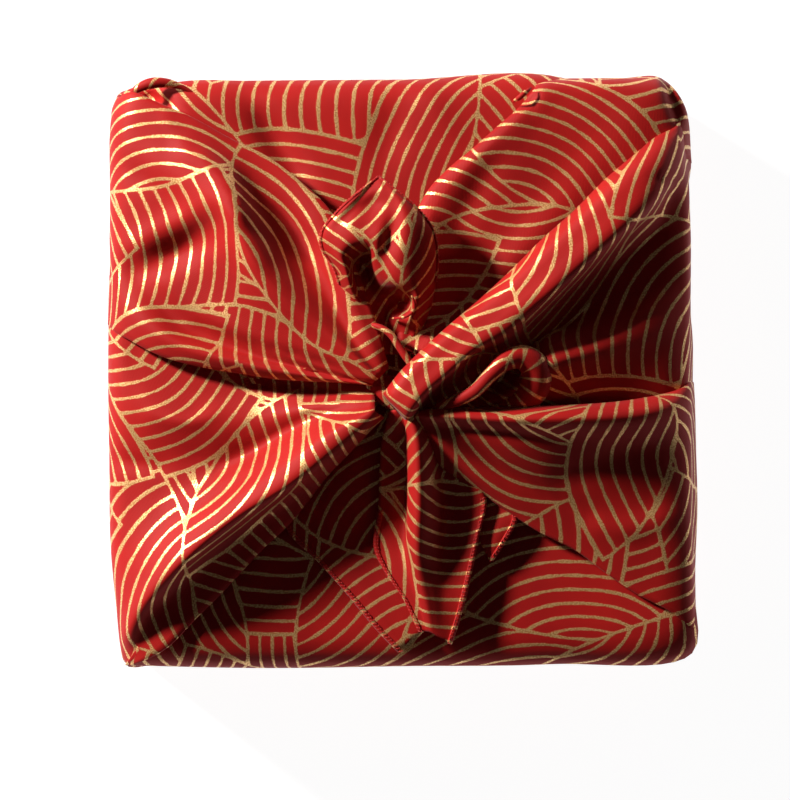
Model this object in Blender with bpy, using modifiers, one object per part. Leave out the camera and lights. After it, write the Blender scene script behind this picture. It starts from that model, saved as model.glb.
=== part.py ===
"""A square of printed cotton tied round a flat box, with its knot on top.

The cloth lies under the box with a corner past each of the box's four sides. The back
and front corners are folded over the box, the left and right corners are gathered into
fans, and their two ends are tied in one square knot. It is one hemmed cloth, so it is
one solid, filled where the box is.

X runs to the right and Y to the back of the parcel, Z is up, and the origin is the
middle of the flat face that the parcel rests on.
"""
import math

import bmesh
import bpy
from mathutils import Vector

MM = 0.001

# The parcel, in millimetres.
BOX_TOP = 72.0
TOP_CROWN = 2.5
FREE_CLOTH = 2.4
FAN_BASE = 42.0
TAIL_BASE = 66.0

# The one skin over all the panels.
SKIN_STEP = 1.4
KEPT_SHARE = 0.044
FLAT_BELOW = 0.5

# The parcel seen from above: each corner's place and how round it is.
CORNERS = (
    # name, x, y, radius
    ("front right", 125.0, -122.5, 12.0),
    ("back right", 121.5, 126.5, 9.0),
    ("back left", -125.0, 124.0, 11.0),
    ("front left", -121.5, -126.5, 6.0),
)
SIDE_POINTS = 44
ARC_POINTS = 5
SIDE_BOW = 1.4
SIDE_WAVE = 0.7

# The parcel's wall, from the face that it rests on to the edge of its top.
WALL = (
    # height, inset
    (0.0, 5.5),
    (1.2, 2.6),
    (5.0, 0.9),
    (16.0, 0.3),
    (36.0, 0.3),
    (55.0, 0.2),
    (63.0, 0.8),
    (68.0, 2.8),
    (71.4, 7.0),
)
WALL_RINGS = 20
TOP_RINGS = (0.86, 0.68, 0.46, 0.24)

# Pleats that the pull of the knot leaves in the wall. Places run along the wall, by y on
# the left and right walls and by x on the front and back ones.
PLEATS = (
    # wall, place at the foot, place at the top, width, height
    ("left", 108, 92, 6.0, 1.8),
    ("left", 84, 50, 8.0, 1.2),
    ("left", 40, 26, 7.0, 1.5),
    ("left", -18, -12, 10.0, 1.0),
    ("left", -62, -44, 7.0, 1.6),
    ("left", -106, -84, 7.0, 2.0),
    ("right", 106, 84, 6.0, 2.0),
    ("right", 70, 44, 8.0, 1.4),
    ("right", 22, 8, 7.0, 1.2),
    ("right", -34, -20, 8.0, 1.6),
    ("right", -76, -60, 8.0, 1.2),
    ("right", -110, -92, 6.0, 2.0),
    ("front", -82, -112, 7.0, 2.2),
    ("front", -30, -44, 12.0, 0.9),
    ("front", 48, 62, 10.0, 1.1),
    ("front", 80, 114, 7.0, 2.2),
    ("back", -84, -110, 7.0, 2.2),
    ("back", -18, -8, 12.0, 0.9),
    ("back", 52, 40, 10.0, 1.0),
    ("back", 82, 110, 7.0, 2.2),
)

# Each panel is a net. A row is one fold or edge, from the rim of the parcel to the
# knot, and each place on it is x, y, z in millimetres.
BACK_FLAP = (
    ("left hem", (-98, 124, 58), (-94, 119, 71), (-88, 105, 75.0), (-74, 40, 77), (-58, -30, 77),
     (-50, -66, 77), (-23, -95, 77), (-4, -118, 76)),
    ("middle", (-20, 125, 58), (-18, 120, 72), (-12, 105, 76), (-4, 40, 79), (0, -30, 79),
     (0, -66, 78.5), (0, -92, 78), (2, -115, 76.5)),
    ("right side", (70, 125, 58), (69, 120, 72), (66, 105, 76.0), (58, 40, 78), (50, -30, 78),
     (40, -62, 77.5), (22, -88, 77), (8, -110, 76)),
)
UPPER_LEFT_FAN = (
    ("fold over the back flap", (-123.5, 116, 50), (-122.5, 118, 66), (-104, 115, 76.5), (-75, 101, 79),
     (-46, 83, 80.5), (-28, 62, 82), (-15, 36, 84), (-6, 12, 90), (-4, 1, 92)),
    ("crest", (-126, 104, 48), (-124.5, 104, 66), (-104, 102, 80), (-78, 84, 87), (-56, 64, 93),
     (-37, 38, 97), (-24, 18, 99), (-13, 4, 99), (-9, -1, 97)),
    ("soft slope", (-126.8, 76, 46), (-125.5, 74, 65), (-108, 72, 79), (-84, 56, 85), (-62, 38, 90),
     (-46, 22, 92), (-33, 9, 94), (-19, 0, 96), (-11, -3, 96)),
    ("crease", (-126.8, 50, 46), (-125.4, 48, 64), (-110, 42, 77), (-92, 25, 79.5), (-78, 16, 81.5),
     (-62, 10, 84), (-42, 4, 87), (-24, -1, 91), (-13, -4, 93)),
    ("edge over the lower fan", (-127.2, 26, 44), (-126.4, 22, 64), (-108, 10, 77), (-90, 3.5, 79.5),
     (-76, 1.5, 81), (-58, 0, 82), (-40, -3, 84), (-22, -4, 88), (-12, -5, 91)),
)
LOWER_LEFT_FAN = (
    ("top, under the upper fan", (-126, 38, 46), (-124, 38, 62), (-108, 24, 74), (-88, 14, 75.5),
     (-66, 10, 77), (-44, 5, 80), (-22, -2, 86), (-12, -8, 90)),
    ("lit slope", (-126.8, 2, 46), (-125.6, 0, 65), (-110, -6, 77), (-88, -12, 80), (-66, -12, 82),
     (-44, -12, 85), (-24, -11, 91), (-12, -11, 94)),
    ("dent", (-126.6, -42, 46), (-125, -40, 65), (-110, -36, 75.5), (-92, -36, 76.5), (-70, -33, 78),
     (-50, -27, 83), (-28, -19, 92), (-12, -14, 97)),
    ("slope to the ridge", (-126.4, -88, 46), (-124.4, -86, 65), (-111, -76, 77), (-94, -60, 81),
     (-74, -50, 85.5), (-54, -39, 90), (-31, -25, 96), (-12, -15, 99)),
    ("ridge", (-121, -122, 48), (-120.5, -119, 66), (-110, -98, 79), (-94, -77, 86), (-74, -64, 91),
     (-52, -52, 95), (-28, -33, 100), (-10, -17, 101)),
    ("fold over the front flap", (-117, -126, 50), (-116.5, -125, 67), (-104, -118, 76),
     (-86, -104, 77.5), (-68, -86, 78), (-50, -64, 79), (-26, -38, 86), (-8, -18, 95)),
)
RIGHT_FACET = (
    ("fold over the back flap", (58, 125, 56), (56, 122, 70), (49, 115, 77), (31, 99, 80), (13, 80, 81),
     (3, 57, 81), (-1, 30, 83), (-2, 10, 88)),
    ("near the fold", (70, 126, 56), (68, 123, 70), (59, 114, 78.5), (42, 96, 82.5), (25, 76, 84),
     (13, 54, 84), (6, 28, 86), (2, 8, 90)),
    ("middle", (98, 126.5, 54), (96, 124, 69), (84, 110, 78), (68, 86, 81), (50, 64, 82), (34, 44, 84),
     (18, 22, 87), (6, 8, 91)),
    ("under the roll", (119, 116, 52), (117, 113, 67), (109, 98, 76), (86, 76, 79), (64, 55, 81),
     (42, 34, 85), (22, 14, 90), (8, 2, 93)),
)
RIGHT_ROLL = (
    ("upper edge", (119.5, 110, 50), (118.5, 107, 67), (99, 93, 80), (80, 76, 84), (59, 59, 87),
     (34, 35, 92), (11, 13, 98), (-5, -3, 101), (-9, -8, 92)),
    ("crest", (121, 98, 48), (119.5, 96, 69), (106, 87, 87), (88, 70, 93), (68, 51, 97), (41, 26, 102),
     (16, 5, 106.5), (-1, -9, 106.5), (-5, -14, 96)),
    ("lower edge", (123, 82, 46), (121.6, 80, 67), (108, 75, 83), (95, 61, 85), (76, 42, 87),
     (48, 21, 91), (21, -2, 98), (3, -17, 100), (0, -20, 90)),
    ("valley", (123.6, 57, 46), (122, 55, 64), (108, 53, 76), (93, 42, 77), (72, 29, 78), (48, 12, 80),
     (27, -5, 87), (5, -17, 92), (1, -19, 85)),
    ("bulge", (123.6, 34, 46), (122.2, 31, 66), (108, 26, 82), (90, 19, 85), (72, 11, 87), (55, 4, 88),
     (33, -8, 90), (7, -16, 91), (2, -19, 84)),
    ("foot of the bulge", (123.2, -12, 46), (121, -13, 62), (106, -18, 75), (87, -20, 76),
     (68, -20, 77), (50, -20, 79), (31, -18, 84), (9, -17, 88), (3, -20, 82)),
)
LOWER_RIGHT_FAN = (
    ("upper edge", (123.6, -2, 46), (122.6, -6, 66), (104, -11, 79.5), (84, -14, 83), (62, -15, 86),
     (38, -16, 90), (11, -15, 95), (2, -16, 93)),
    ("crest", (123.8, -16, 46), (122.6, -19, 67), (106, -21, 83), (85, -23, 88), (60, -22, 92),
     (34, -21, 96), (12, -18, 98.5), (3, -17, 96)),
    ("slope", (124, -54, 46), (122.4, -52, 66), (106, -51, 79.5), (85, -47, 84), (60, -38, 88),
     (32, -28, 92), (12, -21, 96), (3, -18, 95)),
    ("lower slope", (124.4, -84, 46), (122.8, -81, 65), (106, -75, 77.5), (85, -66, 80), (60, -54, 83),
     (33, -40, 87), (12, -26, 92), (2, -19, 93)),
    ("fold over the front flap", (125.4, -112, 48), (124, -107, 66), (107, -98, 76.5), (79, -78, 78),
     (50, -62, 79.5), (30, -48, 81), (9, -29, 86), (1, -19, 91)),
)
FRONT_TAIL = (
    ("left hem", (-8, -18, 90), (-10, -36, 84), (-11, -60, 81.5), (-12.5, -74, 81), (-8, -85, 81),
     (0, -96, 81), (7, -110, 79.5)),
    ("foot of the roll", (-1, -17, 91), (1.5, -36, 85), (2, -60, 83), (1, -78, 84), (4, -88, 84),
     (8, -99, 83), (10, -111, 80.5)),
    ("roll", (2, -16, 96), (7, -34, 97), (8, -56, 95), (8, -76, 92), (10, -88, 88.5), (13, -101, 85.5),
     (14, -112, 81.5)),
    ("hollow", (5, -18, 91), (16, -38, 86), (19, -59, 82), (18, -76, 82.5), (18, -89, 83.5),
     (18, -102, 82.5), (17.5, -113.5, 80.5)),
    ("right hem", (9, -22, 89), (29, -42, 85), (35, -54, 84), (33, -72, 83), (29, -86, 82.5),
     (25, -106, 81), (20, -115, 79.5)),
)
SMALL_TIP = (
    ("hidden edge", (34, -48, 78), (34.5, -62, 78), (35, -74, 78), (37, -80, 77)),
    ("middle", (40, -52, 80), (42, -61, 80.5), (40, -72, 80), (38, -79.5, 78)),
    ("hem", (47, -56, 79.5), (48.6, -62, 79.5), (43, -73, 79), (39, -79, 78)),
)
BACK_TAIL = (
    ("left hem", (-10.8, 82.3, 99), (-23, 72, 99), (-35, 59, 97), (-33.5, 50, 95), (-29, 38, 93),
     (-20, 24, 91), (-9, 9, 90)),
    ("left shoulder", (-10.6, 82.6, 99), (-17.5, 73.5, 102), (-26, 61, 102.5), (-25, 48, 97),
     (-22, 35, 92), (-15, 22, 90), (-6.5, 9, 91)),
    ("middle", (-10.3, 82.8, 99), (-10.5, 75, 104), (-14, 63, 108), (-14.5, 50, 106), (-11, 38, 101),
     (-8, 24, 92), (-3.5, 9, 92)),
    ("right shoulder", (-10, 82.6, 99), (-3, 74.5, 103), (-1, 64, 106.5), (0, 52, 105.5), (2, 36, 102),
     (0, 24, 93), (-0.5, 9, 91)),
    ("right hem", (-9.8, 82.3, 99), (3.5, 72, 100), (12, 60, 99), (13, 48, 94), (13, 35, 90),
     (7, 21, 88), (2, 9, 90)),
)

# Rolled edges and loops: the middle of each roll, from one end to the other.
LIP = ((-19, 46, 97.5), (-12, 37, 99.5), (-3, 31, 101), (4, 29, 99.5), (3, 24, 95), (-2, 22, 91))
CURLED_HEM = ((-17, 20, 89), (-11, 18, 93), (-5, 16.5, 95), (-1, 11, 97), (4, 7, 94))
LOOP_FOLD = ((19, -12, 88), (32, -6, 94), (43, 5, 97), (50, 6, 97), (52, -1, 95), (46, -9, 91),
             (36, -15, 85))
CORNER_EAR = ((-118, 118, 66), (-113, 121.5, 71), (-106, 122.5, 72.5), (-96, 119, 71.5), (-86, 113, 71))

PANELS = (
    # name, net, points along, points across, base, tuck under the edge, drop of the edge
    ("back flap", BACK_FLAP, 16, 9, FAN_BASE, 0.8, 1.2),
    ("right facet", RIGHT_FACET, 24, 14, FAN_BASE, 1.6, 1.8),
    ("lower left fan", LOWER_LEFT_FAN, 30, 27, FAN_BASE, 1.6, 1.8),
    ("upper left fan", UPPER_LEFT_FAN, 30, 25, FAN_BASE, 1.6, 1.8),
    ("right roll", RIGHT_ROLL, 30, 30, FAN_BASE, 1.6, 1.8),
    ("lower right fan", LOWER_RIGHT_FAN, 30, 24, FAN_BASE, 1.6, 1.8),
    ("small tip", SMALL_TIP, 8, 6, TAIL_BASE, 0.6, 1.2),
    ("front tail", FRONT_TAIL, 28, 24, TAIL_BASE, 1.0, 1.6),
)
ROLLS = (
    # name, route, radius
    ("lip of the back tail", LIP, 2.6),
    ("curled hem", CURLED_HEM, 1.5),
    ("loop fold", LOOP_FOLD, 4.2),
    ("corner ear", CORNER_EAR, 3.8),
)
BACK_TAIL_COUNTS = (30, 24)

# The turns of the knot under its band: their middle and their half sizes.
KNOT_CORE = ((-2.5, -9.5, 87.0), (13.0, 12.0, 12.0))

RED = (0.47, 0.012, 0.018, 1.0)


def catmull(a, b, c, d, t):
    """A point between b and c on the smooth curve through a, b, c and d."""
    return 0.5 * (2 * b + (c - a) * t + (2 * a - 5 * b + 4 * c - d) * t * t
                  + (3 * b - a - 3 * c + d) * t * t * t)


def along(points, count):
    """count points spread along a smooth curve through all the points given."""
    spans = len(points) - 1
    curve = []
    for i in range(count):
        place = spans * i / (count - 1)
        k = min(int(place), spans - 1)
        before = points[max(k - 1, 0)]
        after = points[min(k + 2, spans)]
        curve.append(catmull(before, points[k], points[k + 1], after, place - k))
    return curve


def net_grid(net, long_count, cross_count):
    """A smooth grid of points over a net, one list for each line across the folds."""
    folds = [along([Vector(p) * MM for p in row[1:]], long_count) for row in net]
    return [along([fold[i] for fold in folds], cross_count) for i in range(long_count)]


def mesh_object(name, vertices, faces, collection):
    mesh = bpy.data.meshes.new(name)
    mesh.from_pydata(vertices, [], faces)
    work = bmesh.new()
    work.from_mesh(mesh)
    bmesh.ops.remove_doubles(work, verts=work.verts, dist=0.00002)
    bmesh.ops.triangulate(work, faces=work.faces)
    bmesh.ops.recalc_face_normals(work, faces=work.faces)
    if work.calc_volume(signed=True) < 0:
        bmesh.ops.reverse_faces(work, faces=work.faces)
    work.to_mesh(mesh)
    work.free()
    piece = bpy.data.objects.new(name, mesh)
    collection.objects.link(piece)
    return piece


def grid_faces(rows, columns):
    return [(i * columns + j, (i + 1) * columns + j, (i + 1) * columns + j + 1, i * columns + j + 1)
            for i in range(rows - 1) for j in range(columns - 1)]


def filled_panel(name, net, long_count, cross_count, base, tuck, drop, collection):
    """A panel whose edges roll under, filled down to a flat face inside the parcel."""
    grid = net_grid(net, long_count, cross_count)
    for line in grid:
        for end, inner in ((0, 1), (-1, -2)):
            inward = line[inner] - line[end]
            inward.z = 0
            step = inward.normalized() * tuck * MM
            under = line[end] + step - Vector((0, 0, drop * MM))
            line.insert(0 if end == 0 else len(line), under)
    rows = len(grid)
    columns = len(grid[0])
    vertices = [point for line in grid for point in line]
    faces = grid_faces(rows, columns)
    rim = list(range(columns))
    rim += [i * columns + columns - 1 for i in range(1, rows)]
    rim += [(rows - 1) * columns + j for j in range(columns - 2, -1, -1)]
    rim += [i * columns for i in range(rows - 2, 0, -1)]
    first = len(vertices)
    vertices += [Vector((vertices[i].x, vertices[i].y, base * MM)) for i in rim]
    for k in range(len(rim)):
        after = (k + 1) % len(rim)
        faces.append((rim[k], rim[after], first + after, first + k))
    faces.append(tuple(range(first, first + len(rim))))
    return mesh_object(name, vertices, faces, collection)


def thin_panel(name, net, collection):
    """A panel of cloth with air under it."""
    long_count, cross_count = BACK_TAIL_COUNTS
    grid = net_grid(net, long_count, cross_count)
    vertices = [point for line in grid for point in line]
    piece = mesh_object(name, vertices, grid_faces(long_count, cross_count), collection)
    wall = piece.modifiers.new("Cloth", "SOLIDIFY")
    wall.thickness = FREE_CLOTH * MM
    wall.offset = 0.0
    return piece


def rolled_edge(name, points, radius, collection):
    """A round roll of cloth along a smooth route."""
    curve = bpy.data.curves.new(name, "CURVE")
    curve.dimensions = "3D"
    curve.bevel_depth = radius * MM
    curve.bevel_resolution = 2
    curve.use_fill_caps = True
    route = along([Vector(p) * MM for p in points], 4 * len(points))
    spline = curve.splines.new("POLY")
    spline.points.add(len(route) - 1)
    for spot, place in zip(spline.points, route):
        spot.co = (*place, 1.0)
    drawn = bpy.data.objects.new(name + " route", curve)
    collection.objects.link(drawn)
    evaluated = drawn.evaluated_get(bpy.context.evaluated_depsgraph_get())
    mesh = bpy.data.meshes.new_from_object(evaluated)
    work = bmesh.new()
    work.from_mesh(mesh)
    bmesh.ops.remove_doubles(work, verts=work.verts, dist=0.00002)
    bmesh.ops.recalc_face_normals(work, faces=work.faces)
    work.to_mesh(mesh)
    work.free()
    piece = bpy.data.objects.new(name, mesh)
    piece.matrix_world = drawn.matrix_world
    collection.objects.link(piece)
    bpy.data.objects.remove(drawn)
    return piece


def knot_core(collection):
    """The turns of the knot that the band over it hides."""
    middle, radii = KNOT_CORE
    mesh = bpy.data.meshes.new("knot core")
    work = bmesh.new()
    bmesh.ops.create_uvsphere(work, u_segments=20, v_segments=12, radius=1.0)
    for vertex in work.verts:
        vertex.co = Vector([(m + r * c) * MM for m, r, c in zip(middle, radii, vertex.co)])
    work.to_mesh(mesh)
    work.free()
    piece = bpy.data.objects.new("knot core", mesh)
    collection.objects.link(piece)
    return piece


def outline():
    """The parcel's outline from above, anticlockwise from its front right corner."""
    turns = (-math.pi / 2, 0.0, math.pi / 2, math.pi)
    arcs = []
    for (name, x, y, radius), turn in zip(CORNERS, turns):
        middle = Vector((x - math.copysign(radius, x), y - math.copysign(radius, y)))
        arcs.append([middle + radius * Vector((math.cos(a), math.sin(a)))
                     for a in [turn + math.pi / 2 * k / ARC_POINTS for k in range(ARC_POINTS + 1)]])
    points = []
    for k, arc in enumerate(arcs):
        points += arc
        start = arc[-1]
        finish = arcs[(k + 1) % len(arcs)][0]
        out = Vector((finish - start).orthogonal()).normalized()
        if out.dot(start + finish) < 0:
            out = -out
        for i in range(1, SIDE_POINTS + 1):
            t = i / (SIDE_POINTS + 1)
            swell = math.sin(math.pi * t)
            bow = SIDE_BOW * swell + SIDE_WAVE * math.sin(7.0 * t + 2.0 * k) * swell
            points.append(start.lerp(finish, t) + out * bow)
    return points


def pleat_height(wall, place, rise):
    """How far the pleats lift one place on a wall; rise runs from 0 at the foot to 1."""
    height = 0.0
    for name, foot, top, width, lift in PLEATS:
        if name == wall:
            across = (place - foot - (top - foot) * rise) / width
            height += lift * math.exp(-across * across)
    return height * min(1.0, 3.0 * rise)


def on_wall(place, height):
    """A place of the wall, moved out by the pleats there."""
    rise = height / BOX_TOP
    if abs(place.x) > abs(place.y):
        wall = "right" if place.x > 0 else "left"
        out = Vector((math.copysign(pleat_height(wall, place.y, rise), place.x), 0, 0))
    else:
        wall = "back" if place.y > 0 else "front"
        out = Vector((0, math.copysign(pleat_height(wall, place.x, rise), place.y), 0))
    return (Vector((place.x, place.y, height)) + out) * MM


def parcel(collection):
    """The box under its cloth: flat below, soft at its edges, a little crowned on top."""
    rim = outline()
    count = len(rim)
    half = 125.0
    vertices = []
    wall = along([Vector(row) for row in WALL], WALL_RINGS)
    for height, inset in wall:
        scale = 1.0 - inset / half
        for place in rim:
            vertices.append(on_wall(place * scale, max(height, 0.0)))
    for scale in TOP_RINGS:
        height = BOX_TOP + TOP_CROWN * (1.0 - scale * scale)
        for place in rim:
            vertices.append(Vector((place.x * scale, place.y * scale, height)) * MM)
    vertices.append(Vector((0, 0, BOX_TOP + TOP_CROWN)) * MM)
    rings = WALL_RINGS + len(TOP_RINGS)
    faces = [tuple(range(count - 1, -1, -1))]
    for ring in range(rings - 1):
        for k in range(count):
            after = (k + 1) % count
            here = ring * count
            above = here + count
            faces.append((here + k, here + after, above + after, above + k))
    last = (rings - 1) * count
    for k in range(count):
        faces.append((last + k, last + (k + 1) % count, len(vertices) - 1))
    return mesh_object("parcel", vertices, faces, collection)


def red_cotton():
    material = bpy.data.materials.new("red printed cotton")
    material.use_nodes = True
    shader = material.node_tree.nodes["Principled BSDF"]
    shader.inputs["Base Color"].default_value = RED
    shader.inputs["Roughness"].default_value = 0.6
    shader.inputs["Metallic"].default_value = 0.0
    return material


def fused(pieces, collection):
    """One closed solid of all the pieces, flat below and centred over the origin."""
    graph = bpy.context.evaluated_depsgraph_get()
    work = bmesh.new()
    for piece in pieces:
        work.from_mesh(bpy.data.meshes.new_from_object(piece.evaluated_get(graph)))
    mesh = bpy.data.meshes.new("fused cloth")
    work.to_mesh(mesh)
    work.free()
    draft = bpy.data.objects.new("fused cloth", mesh)
    collection.objects.link(draft)
    skin = draft.modifiers.new("One skin", "REMESH")
    skin.mode = "VOXEL"
    skin.voxel_size = SKIN_STEP * MM
    fewer = draft.modifiers.new("Fewer faces", "DECIMATE")
    fewer.ratio = KEPT_SHARE
    evaluated = draft.evaluated_get(bpy.context.evaluated_depsgraph_get())
    mesh = bpy.data.meshes.new_from_object(evaluated)
    bpy.data.objects.remove(draft)
    middle = []
    for axis in (0, 1):
        places = [vertex.co[axis] for vertex in mesh.vertices]
        middle.append((min(places) + max(places)) / 2)
    for vertex in mesh.vertices:
        vertex.co.x -= middle[0]
        vertex.co.y -= middle[1]
        if vertex.co.z < FLAT_BELOW * MM:
            vertex.co.z = 0.0
    wrap = bpy.data.objects.new("gift_wrap", mesh)
    bpy.data.collections["gift wrap"].objects.link(wrap)
    return wrap


def build():
    for old in list(bpy.data.objects):
        bpy.data.objects.remove(old)
    finished = bpy.data.collections.new("gift wrap")
    panels = bpy.data.collections.new("panels joined into the wrap")
    bpy.context.scene.collection.children.link(finished)
    bpy.context.scene.collection.children.link(panels)

    pieces = [parcel(panels), thin_panel("back tail", BACK_TAIL, panels), knot_core(panels)]
    for name, net, long_count, cross_count, base, tuck, drop in PANELS:
        pieces.append(filled_panel(name, net, long_count, cross_count, base, tuck, drop, panels))
    for name, route, radius in ROLLS:
        pieces.append(rolled_edge(name, route, radius, panels))
    wrap = fused(pieces, panels)
    for piece in pieces:
        piece.hide_render = True
        piece.display_type = "WIRE"
    wrap.data.shade_smooth()
    wrap.data.set_sharp_from_angle(angle=math.radians(40))
    wrap.data.materials.append(red_cotton())


build()
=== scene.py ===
import math

import bmesh
import bpy
import numpy as np
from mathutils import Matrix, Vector


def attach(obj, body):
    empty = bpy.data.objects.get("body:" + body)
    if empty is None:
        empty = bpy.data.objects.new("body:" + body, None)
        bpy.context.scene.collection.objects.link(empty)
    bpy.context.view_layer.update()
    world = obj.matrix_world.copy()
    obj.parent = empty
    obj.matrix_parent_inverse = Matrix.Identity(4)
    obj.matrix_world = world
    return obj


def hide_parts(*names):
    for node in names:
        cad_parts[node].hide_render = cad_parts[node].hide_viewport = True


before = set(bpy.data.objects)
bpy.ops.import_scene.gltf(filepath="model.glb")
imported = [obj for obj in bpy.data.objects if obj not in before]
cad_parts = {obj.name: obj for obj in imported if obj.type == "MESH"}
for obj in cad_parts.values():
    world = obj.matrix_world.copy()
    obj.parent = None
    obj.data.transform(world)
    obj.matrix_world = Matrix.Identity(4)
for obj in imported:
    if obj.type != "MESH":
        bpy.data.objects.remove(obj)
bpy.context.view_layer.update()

# The view. The parcel lies on a pale table and the camera looks straight down on it, so the
# picture is a plan: one pixel of its 790 by 800 is 0.43 mm at the height of the parcel's rim.
MM = 0.001
PIXEL = 0.43 * MM
PICTURE_HEIGHT = 800
RIM_HEIGHT = 60 * MM
CAMERA_HEIGHT = 2.1
VIEW_MIDDLE = (-3.4 * MM, -11.4 * MM)
SENSOR_WIDTH = 36.0

camera = bpy.data.objects.new("camera", bpy.data.cameras.new("camera"))
camera.location = (*VIEW_MIDDLE, CAMERA_HEIGHT)
camera.data.sensor_width = SENSOR_WIDTH
camera.data.lens = SENSOR_WIDTH * (CAMERA_HEIGHT - RIM_HEIGHT) / (PICTURE_HEIGHT * PIXEL)
bpy.context.scene.collection.objects.link(camera)
bpy.context.scene.camera = camera

# The light. One small lamp stands low on the left, a little behind the parcel, and throws the
# folds' long soft-edged shadows. A faint white surrounding fills them.
LAMP_PLACE = (-1.47, 1.03, 0.88)
LAMP_AIM = (0.0, 0.0, 0.08)
LAMP_SIZE = 0.28
LAMP_POWER = 80
LAMP_COLOUR = (1.0, 0.96, 0.89)
ROOM_COLOUR = (1.0, 1.0, 1.0, 1.0)
ROOM_STRENGTH = 0.035

lamp = bpy.data.objects.new("window light", bpy.data.lights.new("window light", "AREA"))
lamp.data.shape = "DISK"
lamp.data.size = LAMP_SIZE
lamp.data.energy = LAMP_POWER
lamp.data.color = LAMP_COLOUR
lamp.location = LAMP_PLACE
lamp.rotation_euler = (Vector(LAMP_AIM) - Vector(LAMP_PLACE)).to_track_quat("-Z", "Y").to_euler()
bpy.context.scene.collection.objects.link(lamp)

room = bpy.data.worlds.new("pale room")
room.use_nodes = True
room.node_tree.nodes["Background"].inputs["Color"].default_value = ROOM_COLOUR
room.node_tree.nodes["Background"].inputs["Strength"].default_value = ROOM_STRENGTH
bpy.context.scene.world = room
bpy.context.scene.view_settings.view_transform = "Standard"

# The table, a pale plane under the parcel. It glows softly, so that it is white all over and
# the parcel's shadow on it is faint.
TABLE_SIDE = 8.0
TABLE_TOP = -0.4 * MM
TABLE_LOOKS = (
    # input of the shader, value
    ("Base Color", (0.22, 0.22, 0.23, 1.0)),
    ("Roughness", 0.7),
    ("Emission Color", (1.0, 1.0, 1.0, 1.0)),
    ("Emission Strength", 0.96),
)
bpy.ops.mesh.primitive_plane_add(size=TABLE_SIDE, location=(0, 0, TABLE_TOP))
table = bpy.context.object
table.name = "table"
table_paint = bpy.data.materials.new("white table")
table_paint.use_nodes = True
for label, value in TABLE_LOOKS:
    table_paint.node_tree.nodes["Principled BSDF"].inputs[label].default_value = value
table.data.materials.append(table_paint)

# The cloth, one square of fine twill cotton wrapped round a box and tied. It is built as it is
# folded, a panel at a time: each panel is a table of its folds, from the rim of the parcel to
# the knot, in millimetres. FINE is the usual size of a panel's faces.
CLOTH = 0.5
FINE = 2.7
LOWEST = 0.6

# The box under the cloth, seen from above, and its wall from the foot up.
CORNERS = (
    # name, x, y, radius
    ("front right", 125.0, -122.5, 12.0),
    ("back right", 121.5, 126.5, 9.0),
    ("back left", -125.0, 124.0, 11.0),
    ("front left", -121.5, -126.5, 6.0),
)
SIDE_BOW = 1.4
SIDE_WAVE = 0.7
SIDE_WAVE_TURN = 7.0
SIDE_WAVE_SHIFT = 2.0
SIDE_STEPS = 60
ARC_STEPS = 10
FOOT_LIFT = 0.2
WALL_TOP = 70.0
WALL = (
    # height, inset
    (0.3, 9.0),
    (0.5, 4.6),
    (2.0, 2.0),
    (5.5, 0.9),
    (12.0, 0.4),
    (22.0, 0.3),
    (34.0, 0.3),
    (46.0, 0.3),
    (56.0, 0.3),
)
PLEAT_RISE = 72.0
PLEAT_START = 3.0
PLEATS = (
    # wall, place at the foot, place at the top, width, height
    ("left", 108, 92, 6.0, 1.8),
    ("left", 84, 50, 8.0, 1.2),
    ("left", 40, 26, 7.0, 1.5),
    ("left", -18, -12, 10.0, 1.0),
    ("left", -62, -44, 7.0, 1.6),
    ("left", -106, -84, 7.0, 2.0),
    ("right", 106, 84, 6.0, 2.0),
    ("right", 70, 44, 8.0, 1.4),
    ("right", 22, 8, 7.0, 1.2),
    ("right", -34, -20, 8.0, 1.6),
    ("right", -76, -60, 8.0, 1.2),
    ("right", -110, -92, 6.0, 2.0),
    ("front", -82, -112, 7.0, 2.2),
    ("front", -30, -44, 12.0, 0.9),
    ("front", 48, 62, 10.0, 1.1),
    ("front", 80, 114, 7.0, 2.2),
    ("back", -84, -110, 7.0, 2.2),
    ("back", -18, -8, 12.0, 0.9),
    ("back", 52, 40, 10.0, 1.0),
    ("back", 82, 110, 7.0, 2.2),
)


def box_outline():
    """The rim from above, anticlockwise, and how far along it each corner's middle lies."""
    arcs = []
    for turn, (name, x, y, radius) in enumerate(CORNERS):
        start = (turn - 1) * math.pi / 2
        angles = start + np.linspace(0, math.pi / 2, ARC_STEPS + 1)
        middle = np.array([x - math.copysign(radius, x), y - math.copysign(radius, y)])
        arcs.append(middle + radius * np.stack([np.cos(angles), np.sin(angles)], 1))
    places = []
    corner_at = {}
    for turn, arc in enumerate(arcs):
        corner_at[CORNERS[turn][0]] = len(places) + ARC_STEPS // 2
        places += list(arc)
        start = arc[-1]
        finish = arcs[(turn + 1) % len(arcs)][0]
        out = np.array([finish[1] - start[1], start[0] - finish[0]])
        out /= np.linalg.norm(out)
        for t in np.arange(1, SIDE_STEPS) / SIDE_STEPS:
            swell = math.sin(math.pi * t)
            wave = math.sin(SIDE_WAVE_TURN * t + SIDE_WAVE_SHIFT * turn)
            bow = SIDE_BOW * swell + SIDE_WAVE * wave * swell
            places.append(start * (1 - t) + finish * t + out * bow)
    places = np.array(places)
    steps = np.linalg.norm(np.roll(places, -1, 0) - places, axis=1)
    lengths = np.concatenate([[0.0], np.cumsum(steps)])
    return places, lengths, {name: lengths[k] for name, k in corner_at.items()}


RIM, RIM_LENGTH, CORNER_LENGTH = box_outline()


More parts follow.
